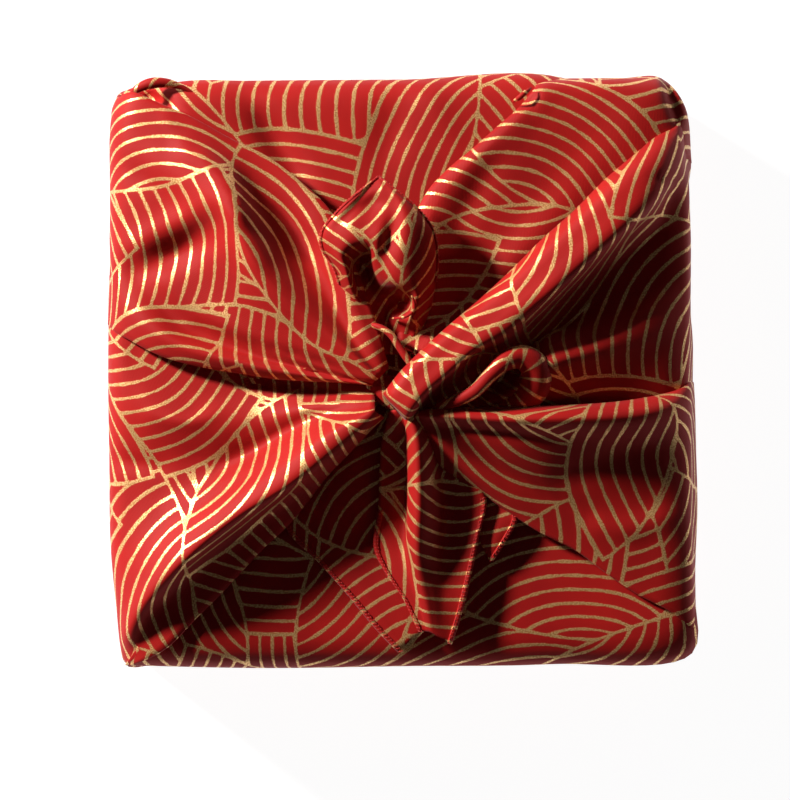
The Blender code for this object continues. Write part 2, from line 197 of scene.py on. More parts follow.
def rim_place(distance):
    """The place on the rim at a distance along it, and the outward direction there."""
    around = distance % RIM_LENGTH[-1]
    k = min(int(np.searchsorted(RIM_LENGTH, around, side="right")) - 1, len(RIM) - 1)
    share = (around - RIM_LENGTH[k]) / (RIM_LENGTH[k + 1] - RIM_LENGTH[k])
    ahead = RIM[(k + 1) % len(RIM)]
    step = ahead - RIM[k]
    return RIM[k] * (1 - share) + ahead * share, np.array([step[1], -step[0]]) / np.linalg.norm(step)


def rim_distance(x, y):
    """How far along the rim the place nearest to x, y lies."""
    return RIM_LENGTH[int(np.argmin((RIM[:, 0] - x) ** 2 + (RIM[:, 1] - y) ** 2))]


def pleat_height(x, y, height):
    """How far the pleats lift the cloth off the wall at one place."""
    rise = height / PLEAT_RISE
    if abs(x) > abs(y):
        wall, place = ("right" if x > 0 else "left"), y
    else:
        wall, place = ("back" if y > 0 else "front"), x
    lift = 0.0
    for name, foot, top, width, most in PLEATS:
        if name == wall:
            across = (place - foot - (top - foot) * rise) / width
            lift += most * math.exp(-across * across)
    return lift * min(1.0, PLEAT_START * rise)


def down_the_wall(first, foot_shift, lift):
    """The places of one fold on the wall, from under the box's edge up to its first place."""
    top_at = rim_distance(first[0], first[1])
    places = []
    for height, inset in WALL:
        rise = height / first[2]
        place, out = rim_place(top_at + foot_shift * (1 - rise))
        swell = pleat_height(place[0], place[1], height) + lift - inset
        places.append((*(place + out * swell), height + lift * FOOT_LIFT))
    return places


def smooth(controls, counts):
    """A centripetal curve through the controls, with counts[k] steps from each to the next."""
    ends = np.vstack([2 * controls[0] - controls[1], controls, 2 * controls[-1] - controls[-2]])
    curve = []
    for k, count in enumerate(counts):
        p = ends[k:k + 4]
        gaps = np.maximum(np.linalg.norm(np.diff(p, axis=0), axis=1), 1e-3) ** 0.5
        knots = np.concatenate([[0.0], np.cumsum(gaps)])
        last = 1 if k == len(counts) - 1 else 0
        t = knots[1] + gaps[1] * np.arange(count + last)[:, None] / count

        def blend(a, b, low, high):
            width = knots[high] - knots[low]
            return a * (knots[high] - t) / width + b * (t - knots[low]) / width

        a1, a2, a3 = blend(p[0], p[1], 0, 1), blend(p[1], p[2], 1, 2), blend(p[2], p[3], 2, 3)
        curve.append(blend(blend(a1, a2, 0, 2), blend(a2, a3, 1, 3), 1, 2))
    return np.vstack(curve)


WIDE_GAPS = 70


def cloth_grid(folds, fine):
    """A smooth grid over the folds: first along each fold, then across them."""
    nets = np.array(folds, dtype=float)
    spans = np.linalg.norm(np.diff(nets, axis=1), axis=2).mean(0)
    along = [max(2, int(round(span / fine))) for span in spans]
    lines = np.array([smooth(fold, along) for fold in nets])
    gaps = np.linalg.norm(np.diff(nets, axis=0), axis=2)
    across = [max(2, int(round(np.percentile(gap, WIDE_GAPS) / fine))) for gap in gaps]
    return np.array([smooth(lines[:, k], across) for k in range(lines.shape[1])])


def grid_normals(grid):
    """The outward directions of a grid of places, upwards over the most of it."""
    along = np.gradient(grid, axis=0)
    across = np.gradient(grid, axis=1)
    normals = np.cross(along, across)
    normals /= np.maximum(np.linalg.norm(normals, axis=2), 1e-9)[..., None]
    return normals if normals[..., 2].mean() > 0 else -normals


def lengths_along(line):
    """How far along a line of places each of them lies."""
    return np.concatenate([[0.0], np.cumsum(np.linalg.norm(np.diff(line, axis=0), axis=1))])


UNDER_STEPS = 6
UNDER_GAP = 1.9
UNDER_START = 1.5
UNDER_LEAST = 2
UNDER_MOST = 0.45
TURN = (
    # outward, down; in shares of the fold's roll
    (0.45, 0.55),
    (0.4, 1.3),
    (-0.4, UNDER_GAP),
)


def tuck_under(grid, side, roll, under):
    """Turns a long edge of the cloth under itself in a round fold; the layer follows the panel."""
    if side == "last":
        grid = grid[:, ::-1]
    normals = grid_normals(grid)
    inward = grid[:, 2] - grid[:, 0]
    inward /= np.maximum(np.linalg.norm(inward, axis=1), 1e-6)[:, None]
    added = [grid[:, 0] - inward * roll * out - normals[:, 1] * roll * down for out, down in TURN]
    layers = np.zeros((len(grid), UNDER_STEPS, 3))
    for i, line in enumerate(grid):
        lengths = lengths_along(line)
        reach = min(under, lengths[-1] * UNDER_MOST)
        wanted = np.linspace(roll * UNDER_START, max(reach, roll * UNDER_LEAST), UNDER_STEPS)
        beneath = line - normals[i] * UNDER_GAP * roll
        for axis in range(3):
            layers[i, :, axis] = np.interp(wanted, lengths, beneath[:, axis])
    added = np.concatenate([np.stack(added, 1), layers], 1)
    grid = np.concatenate([added[:, ::-1], grid], 1)
    return grid[:, ::-1] if side == "last" else grid


SPREAD_ROUNDS = 6
EASE_ROUNDS = 360
SMOOTH_FIRST = 30
SMOOTH_EVERY = 9
SMOOTH_SHARE = 0.6
OVERSHOOT = 1.6


def between_neighbours(places):
    """The middle of the four neighbours of each inner place of a grid."""
    return (places[2:, 1:-1] + places[:-2, 1:-1] + places[1:-1, 2:] + places[1:-1, :-2]) / 4


def unrolled(grid):
    """A first guess at the flat cloth. The plan, with the walls laid out round it, gives each
    step's direction, and the folded cloth its length."""
    plan = grid[..., :2].copy()
    away = np.maximum(np.linalg.norm(plan, axis=2), 1.0)
    plan *= (1.0 + np.maximum(WALL_TOP - grid[..., 2], 0.0) / away)[..., None]
    for _ in range(SPREAD_ROUNDS):
        plan[1:-1, 1:-1] += 0.5 * (between_neighbours(plan) - plan[1:-1, 1:-1])

    def steps(axis):
        way = np.diff(plan, axis=axis)
        way /= np.maximum(np.linalg.norm(way, axis=2), 1e-6)[..., None]
        return way * np.linalg.norm(np.diff(grid, axis=axis), axis=2)[..., None]

    along, across = steps(0), steps(1)
    middle = grid.shape[1] // 2
    flat = np.zeros(plan.shape)
    flat[0, middle] = plan[0, middle]
    flat[1:, middle] = plan[0, middle] + np.cumsum(along[:, middle], axis=0)
    spine = flat[:, middle:middle + 1]
    flat[:, middle + 1:] = spine + np.cumsum(across[:, middle:], axis=1)
    flat[:, :middle] = spine - np.cumsum(across[:, :middle][:, ::-1], axis=1)[:, ::-1]
    return flat


def turned(flat, turn, shift):
    """The flat places turned by degrees and shifted, in metres."""
    c, s = math.cos(math.radians(turn)), math.sin(math.radians(turn))
    return (flat @ np.array([[c, s], [-s, c]]) + np.array(shift)) * MM


def ease_flat(grid):
    """Moves the first guess until the threads are as long as on the folded cloth."""
    spots = unrolled(grid)
    whole, early, late = slice(None), slice(0, -1), slice(1, None)
    pairs = (
        # rows and columns of one end, rows and columns of the other
        ((whole, early), (whole, late)),
        ((early, whole), (late, whole)),
        ((early, early), (late, late)),
        ((late, early), (early, late)),
    )
    links = [(one, other, np.linalg.norm(grid[one] - grid[other], axis=2)[..., None])
             for one, other in pairs]
    for turn in range(EASE_ROUNDS):
        if turn < SMOOTH_FIRST or turn % SMOOTH_EVERY == 0:
            spots[1:-1, 1:-1] += SMOOTH_SHARE * (between_neighbours(spots) - spots[1:-1, 1:-1])
        shift = np.zeros_like(spots)
        share = np.full(spots.shape[:2] + (1,), 1e-9)
        for one, other, length in links:
            gap = spots[other] - spots[one]
            now = np.maximum(np.linalg.norm(gap, axis=2)[..., None], 1e-6)
            pull = gap * (0.5 * (now - length) / now)
            shift[one] += pull
            shift[other] -= pull
            share[one] += 1.0
            share[other] += 1.0
        spots = spots + OVERSHOOT * shift / share
    return spots


PANELS = []
STITCH_LINES = []
HEM_WIDTH = 2.3
HEM_OVERHANG = 0.5
HEM_SECTION = np.array((
    # inset, rise
    (0.0, -0.3),
    (0.1, 0.35),
    (0.5, 0.6),
    (HEM_WIDTH * 0.5, 0.65),
    (HEM_WIDTH - 0.3, 0.55),
    (HEM_WIDTH, 0.0),
))
STITCH_INSET = 1.9
STITCH_RISE = 0.65


def along_line(line, values, distances):
    """The values at distances along one line of places."""
    run = lengths_along(line)
    return np.stack([np.interp(distances, run, values[:, k]) for k in range(values.shape[1])], 1)


def hem(name, side, start, stop):
    """Doubles a stretch of a panel's edge and keeps where its stitches go."""
    grid, flat = [(places, spots) for label, places, spots in PANELS if label == name][0]
    if side == "last":
        grid, flat = grid[:, ::-1], flat[:, ::-1]
    rows = slice(int(start * (len(grid) - 1)), int(stop * (len(grid) - 1)) + 1)
    up = grid_normals(grid)[rows, 1]
    insets, rises = HEM_SECTION.T
    band, spots, stitches = [], [], []
    for line, marks, out in zip(grid[rows], flat[rows], up):
        places = along_line(line, line, insets)
        places[0] += (line[0] - places[3]) / HEM_WIDTH * HEM_OVERHANG
        band.append(places + out * rises[:, None])
        spots.append(along_line(line, marks, insets))
        seam = along_line(line, line, np.array([STITCH_INSET]))[0]
        stitches.append((seam + out * STITCH_RISE, out, seam - line[0]))
    PANELS.append((name + " hem", np.array(band), np.array(spots)))
    STITCH_LINES.append(stitches)


CREASE_STEPS = 8
CREASE_START = 0.12
CREASE_FULLNESS = 0.7


def crease(grid, route, width, height):
    """A soft ridge, or with a negative height a soft trough, along a route over one panel."""
    places = np.array(route, dtype=float)
    fine = smooth(places, [CREASE_STEPS] * (len(places) - 1))
    gaps = np.linalg.norm(grid[:, :, None, :2] - fine[None, None], axis=3)
    share = gaps.argmin(2) / (len(fine) - 1)
    fade = np.sin(np.pi * (CREASE_START + (1 - 2 * CREASE_START) * share)) ** CREASE_FULLNESS
    across = gaps.min(2) / width
    grid[..., 2] += height * fade * np.exp(-across * across)


def panel(name, folds, turn, shift, fine=FINE, feet=None, lift=0.0, tucks=(), creases=()):
    """One panel of the cloth. The feet shift each fold along the rim at the foot of the wall, a
    tuck turns one side under, and turn and shift give its place on the print."""
    rows = [row[1:] for row in folds]
    if feet is not None:
        rows = [down_the_wall(row[0], foot, lift) + [(x, y, z + lift) for x, y, z in row]
                for row, foot in zip(rows, feet)]
    grid = cloth_grid(rows, fine)
    for route, width, height in creases:
        crease(grid, route, width, height)
    flat = ease_flat(grid)
    for side, roll, under in tucks:
        # on the flat cloth the turned-under layer lies beyond the panel's edge
        whole = tuck_under(grid, side, roll, under)
        added = whole.shape[1] - grid.shape[1]
        spread = np.zeros((len(grid), added, 2))
        for i in range(len(grid)):
            if side == "first":
                run = lengths_along(whole[i, :added + 1][::-1])[1:][::-1]
                edge, inner = flat[i, 0], flat[i, 3]
            else:
                run = lengths_along(whole[i, -added - 1:])[1:]
                edge, inner = flat[i, -1], flat[i, -4]
            out = (edge - inner) / max(np.linalg.norm(edge - inner), 1e-6)
            spread[i] = edge + out * run[:, None]
        flat = np.concatenate([spread, flat] if side == "first" else [flat, spread], 1)
        grid = whole
    PANELS.append((name, grid, turned(flat, turn, shift)))


FEWEST_SIDES = 8


def strand(name, route, turn, shift, first=-115, last=115, fine=1.2):
    """A fold of cloth rolled round a route of places, each with the roll's radius there. It
    reaches from the first to the last angle, in degrees from straight up."""
    places = np.array(route, dtype=float)
    spans = np.linalg.norm(np.diff(places[:, :3], axis=0), axis=1)
    line = smooth(places, [max(2, int(round(span / fine))) for span in spans])
    ahead = np.gradient(line[:, :2], axis=0)
    ahead /= np.maximum(np.linalg.norm(ahead, axis=1), 1e-9)[:, None]
    side = np.stack([ahead[:, 1], -ahead[:, 0]], 1)
    count = max(FEWEST_SIDES, int(round(math.radians(last - first) * places[:, 3].max() / fine)))
    angles = np.radians(np.linspace(first, last, count + 1))
    grid = np.zeros((len(line), count + 1, 3))
    for k, angle in enumerate(angles):
        grid[:, k, :2] = line[:, :2] + side * (line[:, 3:] * math.sin(angle))
        grid[:, k, 2] = line[:, 2] + line[:, 3] * math.cos(angle)
    flat = np.zeros(grid.shape[:2] + (2,))
    flat[..., 0] = lengths_along(grid[:, count // 2])[:, None]
    flat[..., 1] = line[:, 3:] * angles[None]
    PANELS.append((name, grid, turned(flat, turn, shift)))


# The underside, the middle of the square, which lies flat under the box.
UNDERSIDE_SPOKES = 112
UNDERSIDE_RINGS = 6
UNDERSIDE_REACH = (0.02, 0.985)


def underside():
    """Rings of places inside the rim, from the middle out."""
    spokes = [rim_place(k * RIM_LENGTH[-1] / UNDERSIDE_SPOKES)[0] for k in range(UNDERSIDE_SPOKES)]
    rings = np.linspace(*UNDERSIDE_REACH, UNDERSIDE_RINGS)
    grid = np.array([[(*(place * ring), LOWEST) for ring in rings] for place in spokes + spokes[:1]])
    PANELS.append(("underside", grid, grid[..., :2] * MM))


underside()

# The front flap comes up the front wall and lies smooth over the box, under everything else.
# Its hidden end reaches under the back flap.
FRONT_FLAP = (
    ("left side", (-119, -125, 66), (-114, -118, 73.0), (-106, -100, 73.6), (-102, -70, 73.6),
     (-102, -20, 73.4), (-96, 40, 72.4), (-62, 74, 71), (-26, 99, 69)),
    ("left middle", (-60, -125.6, 66), (-58, -119, 72), (-52, -100, 74), (-46, -68, 76), (-48, -20, 76),
     (-44, 40, 74), (-30, 76, 72), (-14, 101, 69.6)),
    ("middle", (0, -125.2, 66), (0, -118.6, 71.8), (0, -100, 73.8), (0, -68, 76), (0, -20, 77),
     (0, 40, 74.6), (0, 76, 72.4), (0, 102, 70)),
    ("right middle", (62, -124.6, 66), (60, -118, 72), (54, -100, 74), (48, -68, 75.6), (48, -20, 76),
     (44, 40, 74), (30, 76, 72), (14, 101, 69.6)),
    ("right side", (124, -120, 66), (117, -113, 73.2), (108, -94, 73.8), (104, -64, 73.8),
     (102, -20, 73.6), (96, 40, 72.4), (62, 74, 71), (26, 99, 69)),
    ("round the right corner", (124.8, -92, 66), (121, -90, 72.4), (113, -78, 73.4), (110, -54, 73.4),
     (110, -16, 73.2), (104, 30, 72), (76, 70, 71), (38, 96, 69)),
)
panel("front flap", FRONT_FLAP, fine=5.6, feet=(0,) * 6, turn=8, shift=(60, -90))

# The back flap comes up the back wall and over the front flap to its blunt end, whose corner
# is tucked under. Its hem shows on the left, from under the left fan down to that end.
BACK_FLAP = (
    ("left hem", (-125, 98, 65), (-119, 96, 72), (-100, 84, 74.6), (-80, 34, 76.6), (-60, -30, 77.6),
     (-50, -66, 77.8), (-36.5, -80, 77.8), (-23, -95, 77.8), (-11.5, -109, 77.6), (-2, -119, 77.2)),
    ("corner", (-119.4, 118.6, 65), (-113, 114, 72.4), (-94, 96, 75.2), (-67, 37, 77.4),
     (-49, -30, 78.2), (-42, -64, 78), (-30.6, -80, 78), (-19, -94.6, 77.8), (-9, -108.4, 77.6),
     (-0.6, -118.4, 77.2)),
    ("left quarter", (-95, 125.2, 66), (-91, 120, 73), (-74, 99, 75.8), (-53, 39, 78), (-39, -30, 78.4),
     (-34, -63, 78.2), (-24, -80, 78.2), (-15, -94.2, 78), (-6.8, -107.6, 77.8), (0.8, -117.6, 77.4)),
    ("left middle", (-62, 125.4, 66), (-60, 119, 73.2), (-50, 98, 76), (-40, 40, 78.2), (-30, -30, 78.6),
     (-26, -62, 78.4), (-18, -80, 78.2), (-11, -94, 78), (-4.5, -107, 77.8), (2, -117, 77.4)),
    ("middle", (0, 125.6, 66), (0, 119.5, 73.4), (0, 98, 76.4), (0, 40, 78.6), (0, -30, 79),
     (0, -60, 78.6), (0, -78, 78.4), (0, -92, 78.2), (2, -104, 78), (5, -114, 77.6)),
    ("right side", (70, 126, 66), (68, 120, 73), (62, 98, 76), (52, 40, 77), (46, -30, 77.8),
     (38, -58, 78), (26, -76, 77.8), (18, -90, 77.8), (12, -102, 77.6), (8, -111, 77.4)),
    ("far side", (122, 96, 65), (117, 95, 71.6), (102, 82, 73), (80, 40, 73.4), (66, -30, 74),
     (50, -56, 75.4), (34, -74, 76), (24, -88, 76), (16, -100, 76), (10, -109, 76)),
)
BACK_FLAP_CREASES = (
    # route, width, height
    (((-116, 117), (-110, 118), (-103, 115)), 4.0, -15.0),
    (((-60, 106), (-50, 92), (-43, 80)), 6.0, -4.4),
    (((-3, 116), (-6, 102), (-9, 90)), 8.0, -2.0),
    (((-70, 124), (-62, 112), (-52, 100)), 5.0, -1.2),
    (((10, 124), (14, 112), (22, 100)), 6.0, 1.0),
)
panel("back flap", BACK_FLAP, fine=3.9, feet=(0,) * 7, turn=0, shift=(-130, 140),
      creases=BACK_FLAP_CREASES)
hem("back flap", "first", 0.56, 1.0)

# At the back left corner the back flap's cloth stands up in a small rolled ear, behind a dark
# hollow that the corner's crease sinks in the flap.
EAR = (
    # x, y, z, radius
    (-118, 117.4, 70.6, 0.6),
    (-113.4, 121.6, 73, 1.8),
    (-107.6, 123.8, 74, 2.4),
    (-101, 124, 73.4, 2.0),
    (-94.6, 122.4, 72.6, 1.2),
    (-89, 119.6, 72.4, 0.4),
)
strand("ear", EAR, turn=30, shift=(-60, 200))

# The left fan's upper half, gathered into the knot. It folds over the back flap, sinks in a
# hollow beside the back end, rises to a crease, and its lower edge rolls over the lower half.
UPPER_LEFT_FAN = (
    ("fold over the back flap", (-122.5, 118, 66), (-116, 120, 74), (-104, 115, 77.6), (-90, 109, 79.6),
     (-72, 99, 81.6), (-58, 92, 83.6), (-46, 83, 86), (-32, 70, 89), (-24, 56, 91), (-16, 34, 93),
     (-9, 14, 94.6), (-6, 2, 94)),
    ("roll over the fold", (-124.4, 112, 66), (-119, 113, 74.6), (-106, 108, 79.6), (-90, 102, 82.6),
     (-74, 92, 85), (-60, 84, 87), (-48.6, 74, 88.6), (-37, 61, 90.6), (-29, 46, 92.6), (-20, 26, 94.4),
     (-12, 9, 96), (-8, 0, 96)),
    ("hollow", (-125, 108, 66), (-120, 107, 75), (-107, 102, 80), (-90, 95, 84), (-75, 87, 86),
     (-62, 77, 85.6), (-50, 65, 84.8), (-41, 50, 85.6), (-33.6, 38, 88), (-24.6, 20, 92), (-15, 5, 95.6),
     (-9, -1, 97)),
    ("crease", (-125.6, 100, 66), (-121, 98, 75), (-108, 93, 81.4), (-93, 84, 88), (-81, 76, 93.6),
     (-71.4, 65, 97.6), (-64.6, 51.6, 99.2), (-53, 36, 98.6), (-40.6, 23.6, 98), (-27, 13, 98),
     (-16, 3, 98.4), (-10, -2, 98)),
    ("slope", (-125.6, 86, 66), (-121, 84, 74.6), (-111, 78, 80), (-97, 68, 83.6), (-86, 59, 86.6),
     (-75, 47, 90), (-66, 36, 92.4), (-53, 24, 94), (-42, 17, 95), (-29, 8, 96.6), (-18, 1, 97.4),
     (-11, -3, 97)),
    ("broad dent", (-125.5, 70, 66), (-121.5, 69, 74), (-112, 63, 78.4), (-101, 53, 80.6),
     (-91, 45, 82.4), (-80, 34, 85), (-70, 26, 88), (-56, 17, 91), (-45, 11, 93), (-31, 5, 95),
     (-19, -1, 96.4), (-12, -3.4, 96)),
    ("soft slope", (-125.5, 58, 65), (-122, 57, 73), (-113, 50, 78), (-103, 41, 80.6), (-94, 32, 82.4),
     (-83, 23, 84.6), (-72, 17, 86.6), (-58, 11, 89), (-47, 6.5, 91), (-32, 2, 93.6), (-20, -2, 95),
     (-12.4, -4, 95)),
    ("valley", (-125.6, 47, 65), (-122.4, 46, 72.4), (-114, 40, 76.4), (-106, 32, 78.4), (-96, 22, 79.8),
     (-84, 15, 81.4), (-72, 10.6, 83), (-58, 6, 85.6), (-46, 3, 88), (-32, -0.6, 91), (-21, -3, 93),
     (-12.8, -4.6, 93.4)),
    ("rolled edge", (-126, 33, 65), (-122.6, 31, 73.4), (-115, 25, 79.4), (-106, 18, 83.4),
     (-95, 12, 86), (-82, 7.6, 88), (-69, 4.6, 89.6), (-56, 1.6, 91), (-44, -0.4, 92), (-31, -2.6, 93.4),
     (-21, -4, 94), (-13, -5.2, 93)),
    ("edge over the lower fan", (-126.6, 21, 65), (-123.4, 18, 72.4), (-116, 14, 77.4),
     (-106, 8.6, 80.4), (-94, 4.4, 82.4), (-80, 1.4, 84), (-67, -0.6, 85.6), (-54, -2.6, 87),
     (-42, -3.4, 88.4), (-30, -4, 90), (-20, -4.6, 91.4), (-13, -5.6, 91.4)),
)
UPPER_LEFT_CREASES = (
    # route, width, height
    (((-101, 110), (-90, 86), (-80, 76), (-68, 59), (-60, 47), (-45, 34), (-30, 17), (-14, 2)), 2.4, 0.9),
    (((-112, 45), (-97, 51), (-80, 61)), 6.0, -4.6),
    (((-116, 54), (-100, 62), (-84, 71)), 5.0, 2.0),
    (((-76, 90), (-69, 76), (-65, 62), (-59, 49)), 5.0, 1.6),
    (((-92, 95), (-81, 88), (-73, 79), (-69, 67)), 5.0, 6.2),
    (((-72, 89), (-60, 82), (-50, 72), (-43, 60)), 9.0, -3.8),
    (((-32, 45), (-23, 28), (-14, 10)), 4.0, 1.6),
    (((-118, 88), (-106, 80), (-96, 68)), 5.0, -1.6),
    (((-86, 20), (-66, 13), (-40, 6), (-20, 0)), 2.4, -1.6),
)
panel("upper left fan", UPPER_LEFT_FAN, feet=(-22, -14, -9, -4, 0, 2, 3, 3, 2, 0), lift=0.5,
      tucks=(("first", 1.1, 20), ("last", 1.2, 26)), turn=-20, shift=(-240, 60),
      creases=UPPER_LEFT_CREASES)

# The lower half of the left fan: a lit slope, a ridge that climbs to the knot, and the dark
# fold down over the front flap, with its long edge turned under.
LOWER_LEFT_FAN = (
    ("top, under the upper fan", (-126, 42, 64), (-122, 38, 71.6), (-112, 27, 74), (-98, 18, 75.6),
     (-80, 12, 77), (-62, 8, 78.6), (-42, 3, 82), (-22, -3, 87), (-12, -8, 90)),
    ("lit slope", (-126.4, 14, 65), (-122.6, 12, 72.6), (-113, 4, 75), (-99, -4, 76.6), (-82, -8, 77.8),
     (-63, -9, 79.6), (-44, -9, 83), (-25, -9, 89), (-12, -10, 93)),
    ("soft fold", (-126.4, -10, 65), (-122.4, -10, 73), (-113, -14, 77.4), (-99, -19, 80),
     (-82, -22, 81), (-64, -20, 82), (-46, -16, 87), (-27, -12.6, 93), (-12, -12, 97)),
    ("dent", (-126, -36, 65), (-122, -34, 72), (-112, -35, 75.4), (-98, -38, 77), (-82, -38, 78),
     (-66, -34, 80), (-48, -24, 87), (-29, -17, 94.6), (-12, -14, 99)),
    ("slope to the ridge", (-125.4, -74, 65), (-121.8, -70, 72.6), (-113, -64, 77), (-100, -58, 80.4),
     (-86, -53, 83), (-69, -44.6, 86.6), (-51, -33, 92), (-31, -22, 98), (-12, -15, 101)),
    ("shoulder of the ridge", (-123, -100, 65), (-119.6, -97, 74), (-111.4, -87, 82), (-101, -76, 88),
     (-88, -65.6, 92.6), (-71, -54, 96), (-52, -42, 99), (-32, -27, 102), (-12, -15.6, 102.4)),
    ("ridge", (-121.4, -115, 65), (-118, -112, 75), (-109.6, -98, 85), (-99, -86, 91.6),
     (-86, -73.6, 96), (-68.6, -60, 98.6), (-49, -48, 100.6), (-30, -33, 102.4), (-11, -17, 102)),
    ("dark slope", (-119.4, -122, 65), (-114.6, -118, 72), (-106.6, -104, 77.4), (-95.6, -92, 80.6),
     (-82, -78.6, 82.4), (-64, -65, 84), (-45, -52, 87), (-26, -37, 93.6), (-9, -18.6, 98)),
    ("fold over the front flap", (-118, -125.6, 65), (-112, -123, 72), (-101, -117, 76),
     (-88, -104, 77.4), (-75, -91, 78.4), (-60, -75, 79.4), (-48, -64, 80), (-28, -39, 86),
     (-8, -19, 94)),
)
LOWER_LEFT_CREASES = (
    # route, width, height
    (((-107, -18), (-91, -21), (-79, -17)), 3.0, 1.2),
    (((-126, -35), (-117, -38), (-104, -40)), 3.6, -1.4),
    (((-78, -40), (-62, -32), (-44, -22), (-26, -15)), 4.0, -2.2),
    (((-98, -58), (-82, -50), (-64, -38)), 4.0, 1.4),
    (((-70, -3), (-48, -5), (-26, -8)), 3.6, -2.4),
    (((-36, -48), (-33, -54), (-44, -61)), 1.8, 1.6),
)
panel("lower left fan", LOWER_LEFT_FAN, feet=(0, 0, 0, 0, 2, 6, 10, 16, 24), lift=0.1,
      tucks=(("last", 1.0, 26),), turn=30, shift=(-230, -60), creases=LOWER_LEFT_CREASES)

# The right fan's back half, a facet that lies nearly flat over the back flap. Its long edge is
# turned under along the fold, and its other side runs under the roll.
RIGHT_FACET = (
    ("fold over the back flap", (57, 125.6, 66), (56, 121.6, 74), (49, 113, 78.4), (40, 105, 80),
     (30, 96, 81), (20, 87.6, 81.4), (11, 78, 82), (4, 64, 82.4), (0, 48, 83), (-2, 30, 85),
     (-3, 12, 89)),
    ("roll over the fold", (61, 126, 66), (60, 122.6, 74.6), (53, 113, 79.8), (44, 104, 82),
     (34, 94.6, 83.4), (24, 85, 84), (15, 74, 84.2), (8, 60, 84.4), (4, 45, 85), (1, 28, 87),
     (-1, 11, 90)),
    ("near the fold", (76, 126.2, 66), (74, 122.6, 73.6), (66, 113, 78), (57, 102, 80.6), (47, 90, 82),
     (36, 79, 82.4), (26, 67, 82.6), (18, 54, 83), (12, 40, 84), (6, 25, 86.6), (1, 10, 90)),
    ("middle", (96, 126, 66), (93, 121.6, 73), (84, 110, 77), (74, 97, 79), (63, 84, 80.4), (52, 71, 81),
     (41, 58, 81.4), (31, 46, 82), (21, 33, 84), (12, 21, 87), (4, 9, 91)),
    ("near the roll", (112, 124, 66), (108, 118, 73), (99, 106, 77), (88, 93, 79), (76, 80, 80.6),
     (64, 66, 82), (52, 53, 83), (40, 40, 84), (28, 28, 86), (17, 17, 89), (7, 7, 93)),
    ("under the roll", (120.6, 114, 65), (116, 107, 72), (107, 94, 76), (96, 82, 78), (84, 70, 79),
     (72, 58, 80), (59, 45, 81), (46, 33, 82), (33, 21, 84), (21, 11, 88), (11, 4, 92)),
    ("hidden under the roll", (122, 92, 64), (118, 89, 71), (110, 80, 75), (101, 70, 76.4), (90, 58, 77),
     (78, 46, 77.4), (65, 34, 78), (52, 24, 79), (39, 14, 80.6), (27, 6, 84), (15, 1, 89)),
)
RIGHT_FACET_CREASES = (
    # route, width, height
    (((46, 119), (51, 115), (57, 118)), 1.6, -2.6),
    (((50, 122), (53, 117), (56, 112)), 1.4, -1.6),
    (((112, 128), (115, 119), (118, 109)), 1.8, -6.0),
    (((40, 92), (30, 76), (22, 58)), 6.0, -1.4),
)
panel("right facet", RIGHT_FACET, feet=(58, 54, 40, 20, 6, 0, 0), lift=0.5,
      tucks=(("first", 1.1, 50),), turn=40, shift=(150, 230), creases=RIGHT_FACET_CREASES)

# A small nick in the fold at the back edge, where the cloth is pinched.
NICK = (
    # x, y, z, radius
    (46.4, 115.4, 79.6, 0.3),
    (49.4, 117.2, 81.2, 1.1),
    (52.2, 119.6, 81, 1.0),
    (54.6, 121.6, 78.6, 0.4),
)
strand("nick", NICK, turn=20, shift=(60, 150))

